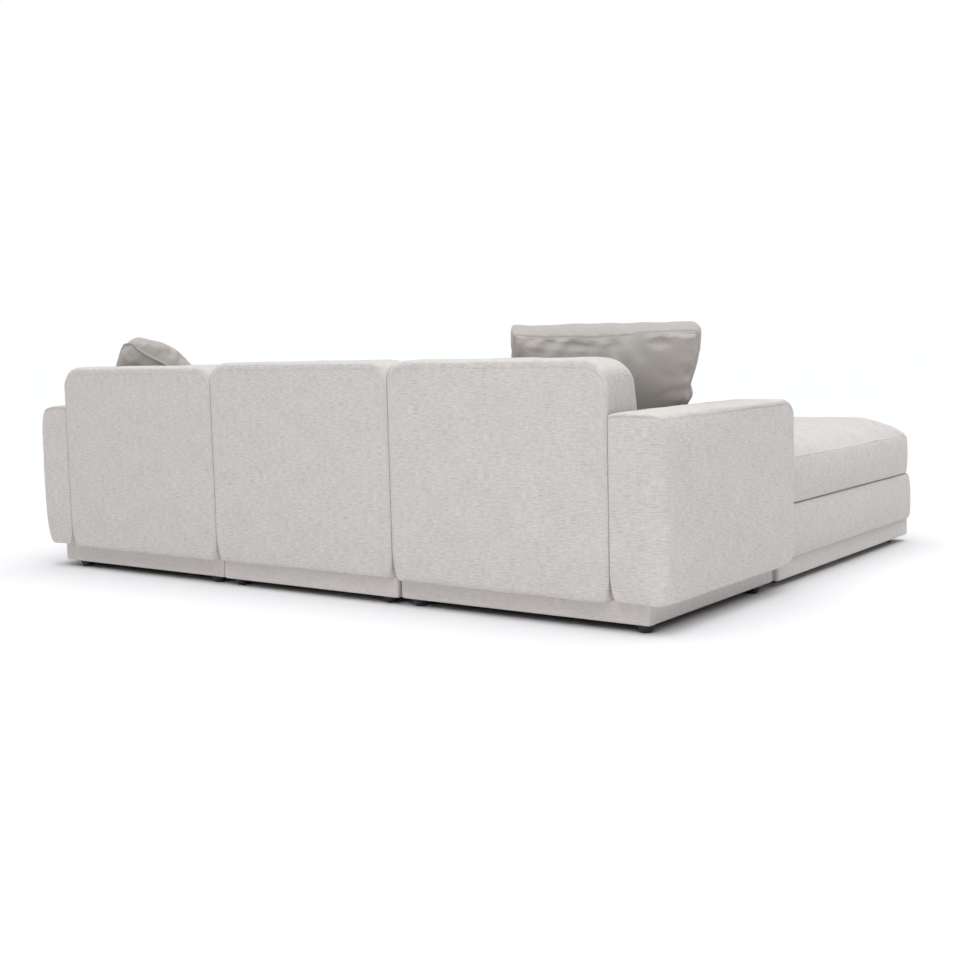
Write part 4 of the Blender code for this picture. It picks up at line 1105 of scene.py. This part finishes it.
def feet_pieces(plan, foot, tree, material):
    """The four turned feet of a module, in place of its foot nodes."""
    names, places = plan.feet()
    if plan.name == "ottoman":
        out, ahead = OTTOMAN_FRONT_FEET_MORE
        (left_x, left_y), (right_x, right_y) = places[2:]
        places[2:] = [(left_x - out, left_y - ahead), (right_x, right_y - ahead)]
    base = bpy.data.meshes.new(plan.name + "_feet_points")
    base.from_pydata([(x, y, 0.0) for x, y in places], [], [])
    made = grown(plan.name + "_turned_feet", base, tree, {"Piece": foot, "Finish": material})
    return dressed(made, plan.body, names, material)


def staple_rows(plan, piece, tree, material):
    """The staples along the four sides of a dust cover, clear of the feet."""
    low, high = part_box(plan.name + "_dust_cover")
    x0, x1 = low[0] + STAPLE_INSET, high[0] - STAPLE_INSET
    y0, y1 = low[1] + STAPLE_INSET, high[1] - STAPLE_INSET
    c = FOOT_CLEARANCE
    ends = (
        ((x0 + c, y0), (x1 - c, y0)), ((x1, y0 + c), (x1, y1 - c)),
        ((x1 - c, y1), (x0 + c, y1)), ((x0, y1 - c), (x0, y0 + c)),
    )
    base = bpy.data.meshes.new(plan.name + "_staple_paths")
    points = [(x, y, low[2]) for pair in ends for x, y in pair]
    base.from_pydata(points, [(2 * i, 2 * i + 1) for i in range(4)], [])
    values = {"Piece": piece, "Spacing": STAPLE_SPACING, "Finish": material}
    made = grown(plan.name + "_cover_staples", base, tree, values)
    return dressed(made, plan.body, [], material)


# Materials

def new_group(name, inputs, outputs):
    """An empty shader group with typed sockets, and its input and output nodes."""
    group = bpy.data.node_groups.new(name, "ShaderNodeTree")
    for title, kind, value in inputs:
        made = group.interface.new_socket(name=title, in_out="INPUT", socket_type=kind)
        if value is not None:
            made.default_value = value
    for title, kind in outputs:
        group.interface.new_socket(name=title, in_out="OUTPUT", socket_type=kind)
    return group, group.nodes.new("NodeGroupInput"), group.nodes.new("NodeGroupOutput")


def wired(nodes, kind, settings=(), **sources):
    """A new node with its properties set and its inputs linked or set by name or number."""
    made = nodes.new(kind)
    for name, value in dict(settings).items():
        setattr(made, name, value)
    tree = nodes.id_data
    for key, source in sources.items():
        socket = made.inputs[int(key[1:])] if key[0] == "n" and key[1:].isdigit() else made.inputs[key]
        if isinstance(source, bpy.types.NodeSocket):
            tree.links.new(source, socket)
        else:
            socket.default_value = source
    return made


def maths(nodes, operation, *values):
    """The result socket of a Math node."""
    sources = {f"n{number}": value for number, value in enumerate(values)}
    return wired(nodes, "ShaderNodeMath", {"operation": operation}, **sources).outputs[0]


def stretched_noise(nodes, vector, scale, detail=2.0, roughness=0.5):
    """Noise whose grains are as long and wide as scale (per metre) makes them."""
    mapped = wired(nodes, "ShaderNodeMapping", Vector=vector, Scale=scale)
    noise = wired(
        nodes, "ShaderNodeTexNoise", {"noise_dimensions": "3D"},
        Vector=mapped.outputs[0], Scale=1.0, Detail=detail, Roughness=roughness,
    )
    return noise.outputs["Fac"]


def weave_group():
    """Plain weave: height of the threads, from flat places in metres and the thread pitch."""
    group, given, out = new_group(
        "plain_weave",
        [("Place", "NodeSocketVector", None), ("Pitch", "NodeSocketFloat", WEAVE_PITCH)],
        [("Height", "NodeSocketFloat")],
    )
    nodes = group.nodes
    parts = wired(nodes, "ShaderNodeSeparateXYZ", Vector=given.outputs["Place"])
    waves = []
    for axis in range(2):
        turns = maths(nodes, "DIVIDE", parts.outputs[axis], given.outputs["Pitch"])
        waves.append(maths(nodes, "SINE", maths(nodes, "MULTIPLY", turns, math.pi)))
    crossing = maths(nodes, "MULTIPLY", waves[0], waves[1])
    height = maths(nodes, "MULTIPLY_ADD", crossing, 0.5, 0.5)
    group.links.new(height, out.inputs["Height"])
    return group


def slub_group():
    """Uneven yarn: a value round 0 for the colour, and a mask of light flecks."""
    group, given, out = new_group(
        "uneven_yarn",
        [("Place", "NodeSocketVector", None), ("Fleck limit", "NodeSocketFloat", 0.66)],
        [("Tone", "NodeSocketFloat"), ("Flecks", "NodeSocketFloat")],
    )
    nodes = group.nodes
    place_out = given.outputs["Place"]
    tone = 0.0
    for grains, detail, share in YARN_GRAINS:
        around = maths(nodes, "SUBTRACT", stretched_noise(nodes, place_out, grains, detail), 0.5)
        tone = maths(nodes, "MULTIPLY_ADD", around, share, tone)
    dashes = maths(nodes, "MULTIPLY_ADD", stretched_noise(nodes, place_out, *DASHES), *DASH_CONTRAST)
    missed = wired(nodes, "ShaderNodeClamp", Value=dashes)
    tone = maths(nodes, "MULTIPLY_ADD", missed.outputs[0], DASH_TONE, tone)
    above = maths(nodes, "SUBTRACT", stretched_noise(nodes, place_out, *FLECKS), given.outputs["Fleck limit"])
    flecks = wired(nodes, "ShaderNodeClamp", Value=maths(nodes, "MULTIPLY", above, FLECK_CONTRAST))
    group.links.new(tone, out.inputs["Tone"])
    group.links.new(flecks.outputs[0], out.inputs["Flecks"])
    return group


def new_material(name):
    """A material with only its Principled shader."""
    made = bpy.data.materials.new(name)
    made.use_nodes = True
    nodes = made.node_tree.nodes
    nodes.clear()
    shader = nodes.new("ShaderNodeBsdfPrincipled")
    out = nodes.new("ShaderNodeOutputMaterial")
    made.node_tree.links.new(shader.outputs[0], out.inputs["Surface"])
    return made, nodes, shader


def scaled_colour(nodes, colour, factor):
    """A colour times a varying factor."""
    kind = {"data_type": "RGBA", "blend_type": "MULTIPLY"}
    return wired(nodes, "ShaderNodeMix", kind, n0=1.0, n6=(*colour, 1.0), n7=factor).outputs[2]


def embossed(nodes, shader, height, strength):
    """Gives a shader the relief of a varying height."""
    relief = wired(nodes, "ShaderNodeBump", Strength=strength, Distance=RELIEF_DEPTH, Height=height)
    nodes.id_data.links.new(relief.outputs[0], shader.inputs["Normal"])


def cloth_material(name, colour, groups, pitch, tone_share, fleck_share, bump, sheen):
    """Woven cloth: uneven yarn in its colour, threads and slubs in its relief, with painted shade between the
    threads and in the seams' grooves.
    """
    made, nodes, shader = new_material(name)
    links = made.node_tree.links
    weave, slubs = groups
    place_out = wired(nodes, "ShaderNodeUVMap", {"uv_map": "cloth"}).outputs[0]
    seam = wired(nodes, "ShaderNodeAttribute", {"attribute_name": "seam"}).outputs["Fac"]
    yarn = wired(nodes, "ShaderNodeGroup", {"node_tree": slubs}, Place=place_out)
    threads = wired(nodes, "ShaderNodeGroup", {"node_tree": weave}, Place=place_out, Pitch=pitch)
    tone, relief = yarn.outputs["Tone"], threads.outputs["Height"]
    factor = maths(nodes, "MULTIPLY_ADD", tone, tone_share, 1.0)
    factor = maths(nodes, "MULTIPLY_ADD", yarn.outputs["Flecks"], fleck_share, factor)
    # Painted shade of the weave's relief: darker in the hollows, lighter on the threads
    factor = maths(nodes, "SUBTRACT", factor, THREAD_PAINTED_SHADE / 2)
    factor = maths(nodes, "MULTIPLY_ADD", relief, THREAD_PAINTED_SHADE, factor)
    # Painted shade in the seams' grooves, by the seam strength
    factor = maths(nodes, "MULTIPLY", factor, maths(nodes, "MULTIPLY_ADD", seam, SEAM_PAINTED_SHADE, 1.0))
    links.new(scaled_colour(nodes, colour, factor), shader.inputs["Base Color"])
    links.new(maths(nodes, "MULTIPLY_ADD", tone, *YARN_ROUGHNESS), shader.inputs["Roughness"])
    embossed(nodes, shader, maths(nodes, "MULTIPLY_ADD", tone, YARN_RELIEF, relief), bump)
    for name, value in {**CLOTH_SHEEN, "Sheen Weight": sheen}.items():
        shader.inputs[name].default_value = value
    return made


def hard_material(name, colour, roughness, metallic=0, grain=(40.0, 40.0, 40.0), share=0.15):
    """A hard surface with a slight grain in colour, roughness and relief."""
    made, nodes, shader = new_material(name)
    links = made.node_tree.links
    place_out = wired(nodes, "ShaderNodeTexCoord").outputs["Object"]
    noise = stretched_noise(nodes, place_out, grain, 4.0)
    around = maths(nodes, "SUBTRACT", noise, 0.5)
    factor = maths(nodes, "MULTIPLY_ADD", around, 2 * share, 1.0)
    links.new(scaled_colour(nodes, colour, factor), shader.inputs["Base Color"])
    links.new(maths(nodes, "MULTIPLY_ADD", around, share, roughness), shader.inputs["Roughness"])
    embossed(nodes, shader, noise, HARD_RELIEF)
    shader.inputs["Metallic"].default_value = metallic
    return made


# Stage, light and camera

def clear_view(nodes):
    """1 for the rays that show a surface: from the camera, and by gloss or glass."""
    path = wired(nodes, "ShaderNodeLightPath")
    seen = maths(nodes, "MAXIMUM", path.outputs["Is Camera Ray"], path.outputs["Is Glossy Ray"])
    return maths(nodes, "MAXIMUM", seen, path.outputs["Is Transmission Ray"])


def seen_or_lit(nodes, kind, seen, lit, output):
    """Two colours of one shader: one for the rays that show it, one for those that light the sofa."""
    shaders = [wired(nodes, kind, **values).outputs[0] for values in (lit, seen)]
    mixed = wired(nodes, "ShaderNodeMixShader", n0=clear_view(nodes), n1=shaders[0], n2=shaders[1])
    nodes.id_data.links.new(mixed.outputs[0], nodes.new(output).inputs["Surface"])


def stage():
    """A wide pale floor that reads white away from the sofa and keeps its shadow."""
    bm = bmesh.new()
    bmesh.ops.create_grid(bm, x_segments=1, y_segments=1, size=FLOOR_SIZE)
    mesh = bpy.data.meshes.new("floor")
    bm.to_mesh(mesh)
    bm.free()
    floor = linked("floor", mesh)
    made = bpy.data.materials.new("floor")
    made.use_nodes = True
    made.node_tree.nodes.clear()
    seen_or_lit(
        made.node_tree.nodes, "ShaderNodeBsdfDiffuse",
        {"Color": FLOOR_SEEN}, {"Color": FLOOR_COLOUR}, "ShaderNodeOutputMaterial",
    )
    mesh.materials.append(made)


def lights():
    """White surroundings, a wide soft light overhead and a weaker lamp behind."""
    world = bpy.data.worlds.new("surroundings")
    bpy.context.scene.world = world
    world.use_nodes = True
    world.node_tree.nodes.clear()
    shown = {"Color": WHITE, "Strength": 1.0}
    lit = {"Color": SURROUNDINGS, "Strength": SURROUNDINGS_STRENGTH}
    seen_or_lit(world.node_tree.nodes, "ShaderNodeBackground", shown, lit, "ShaderNodeOutputWorld")
    above = bpy.data.lights.new("above", "SUN")
    above.energy, above.angle, above.color = 3.20, math.radians(80), OVERHEAD_COLOUR
    linked("above", above).rotation_euler = [math.radians(angle) for angle in OVERHEAD_TILT]
    side = bpy.data.lights.new("side", "AREA")
    side.shape, side.size, side.energy, side.spread = "DISK", 2.0, 6.0, math.radians(90)
    made = linked("side", side)
    made.location = LAMP_PLACE
    made.rotation_euler = (Vector(LAMP_AIM) - Vector(LAMP_PLACE)).to_track_quat("-Z", "Y").to_euler()


def camera():
    """The photograph's viewpoint: behind the sofa, a little above it, slightly rolled."""
    turn, tilt, roll = (math.radians(angle) for angle in VIEW_TURNS)
    forward = Vector((-math.sin(turn) * math.cos(tilt), -math.cos(turn) * math.cos(tilt), math.sin(tilt)))
    level = Vector((-math.cos(turn), math.sin(turn), 0.0))
    up = level.cross(forward)
    right = math.cos(roll) * level + math.sin(roll) * up
    above = -math.sin(roll) * level + math.cos(roll) * up
    data = bpy.data.cameras.new("view")
    data.lens, data.sensor_width = VIEW_LENS
    made = linked("view", data)
    way = Matrix((right, above, -forward)).transposed()
    made.matrix_world = Matrix.Translation(VIEW_PLACE) @ way.to_4x4()
    bpy.context.scene.camera = made
    bpy.context.scene.view_settings.view_transform = "Standard"


def paint_nodes(finishes):
    """Better materials on the CAD nodes that stay."""
    for ending, material in finishes.items():
        for name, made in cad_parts.items():
            if name.endswith(ending):
                made.data.materials.clear()
                made.data.materials.append(material)


def main():
    camera()
    lights()
    stage()
    groups = weave_group(), slub_group()
    woven = cloth_material(
        "woven_cloth", (0.592, 0.568, 0.546), groups, WEAVE_PITCH,
        tone_share=0.51, fleck_share=0.15, bump=0.35, sheen=0.10,
    )
    # The same woven cloth for the plinths, painted lighter as painted light where they stand back in the
    # shade under the bodies, with less uneven yarn and relief
    tight = cloth_material(
        "tight_woven_cloth", (0.642, 0.618, 0.592), groups, WEAVE_PITCH,
        tone_share=0.30, fleck_share=0.08, bump=0.25, sheen=0.10,
    )
    smooth = cloth_material(
        "smooth_cloth", (0.430, 0.405, 0.382), groups, FINE_PITCH,
        tone_share=0.08, fleck_share=0.0, bump=0.15, sheen=0.15,
    )
    plastic = hard_material("black_plastic", (0.012, 0.012, 0.013), roughness=0.38)
    timber = hard_material("timber", (0.52, 0.36, 0.21), roughness=0.65, grain=(4.0, 60.0, 60.0), share=0.3)
    elastic = hard_material("elastic_webbing", (0.05, 0.045, 0.04), roughness=0.8, grain=(300.0, 300.0, 10.0))
    steel = hard_material("steel", (0.45, 0.45, 0.46), roughness=0.35, metallic=1, grain=(8.0, 200.0, 200.0))
    backing = hard_material("dust_cloth", (0.015, 0.015, 0.016), roughness=0.95, grain=(600.0, 600.0, 600.0))
    paint_nodes({
        "seat_frame": timber, "board": timber, "webbing": elastic,
        "jaw": steel, "tongue": steel, "dust_cover": backing,
    })
    right = Module("right", 0.0, PANEL_WIDTH)
    middle = Module("middle", PANEL_WIDTH, 2 * PANEL_WIDTH)
    left = Module("left", 2 * PANEL_WIDTH, 3 * PANEL_WIDTH)
    foot, pin = turned("foot", FOOT_PROFILE, FOOT_SIDES), staple("staple")
    trees = points_tree(), row_tree()
    seats = {}
    for plan in (right, middle, left, ottoman_plan()):
        plinth_cover(plan, tight)
        seat_base_cover(plan, woven)
        seats[plan.name] = seat_cushion_cover(plan, woven)
        feet_pieces(plan, foot, trees[0], plastic)
        staple_rows(plan, pin, trees[1], steel)
    backs = [back_cover(plan, number, woven) for number, plan in enumerate((right, middle, left))]
    left_arm, right_arm = arm_cover(left, woven), arm_cover(right, woven)
    left_corner = (seats["left"], seats["ottoman"], seats["middle"], backs[2], backs[1], left_arm)
    back_cushion_cover(smooth, left_corner)
    throw_pillow_cover(smooth, (seats["right"], backs[0], right_arm))
    for made in (foot, pin):
        bpy.data.objects.remove(made)


main()
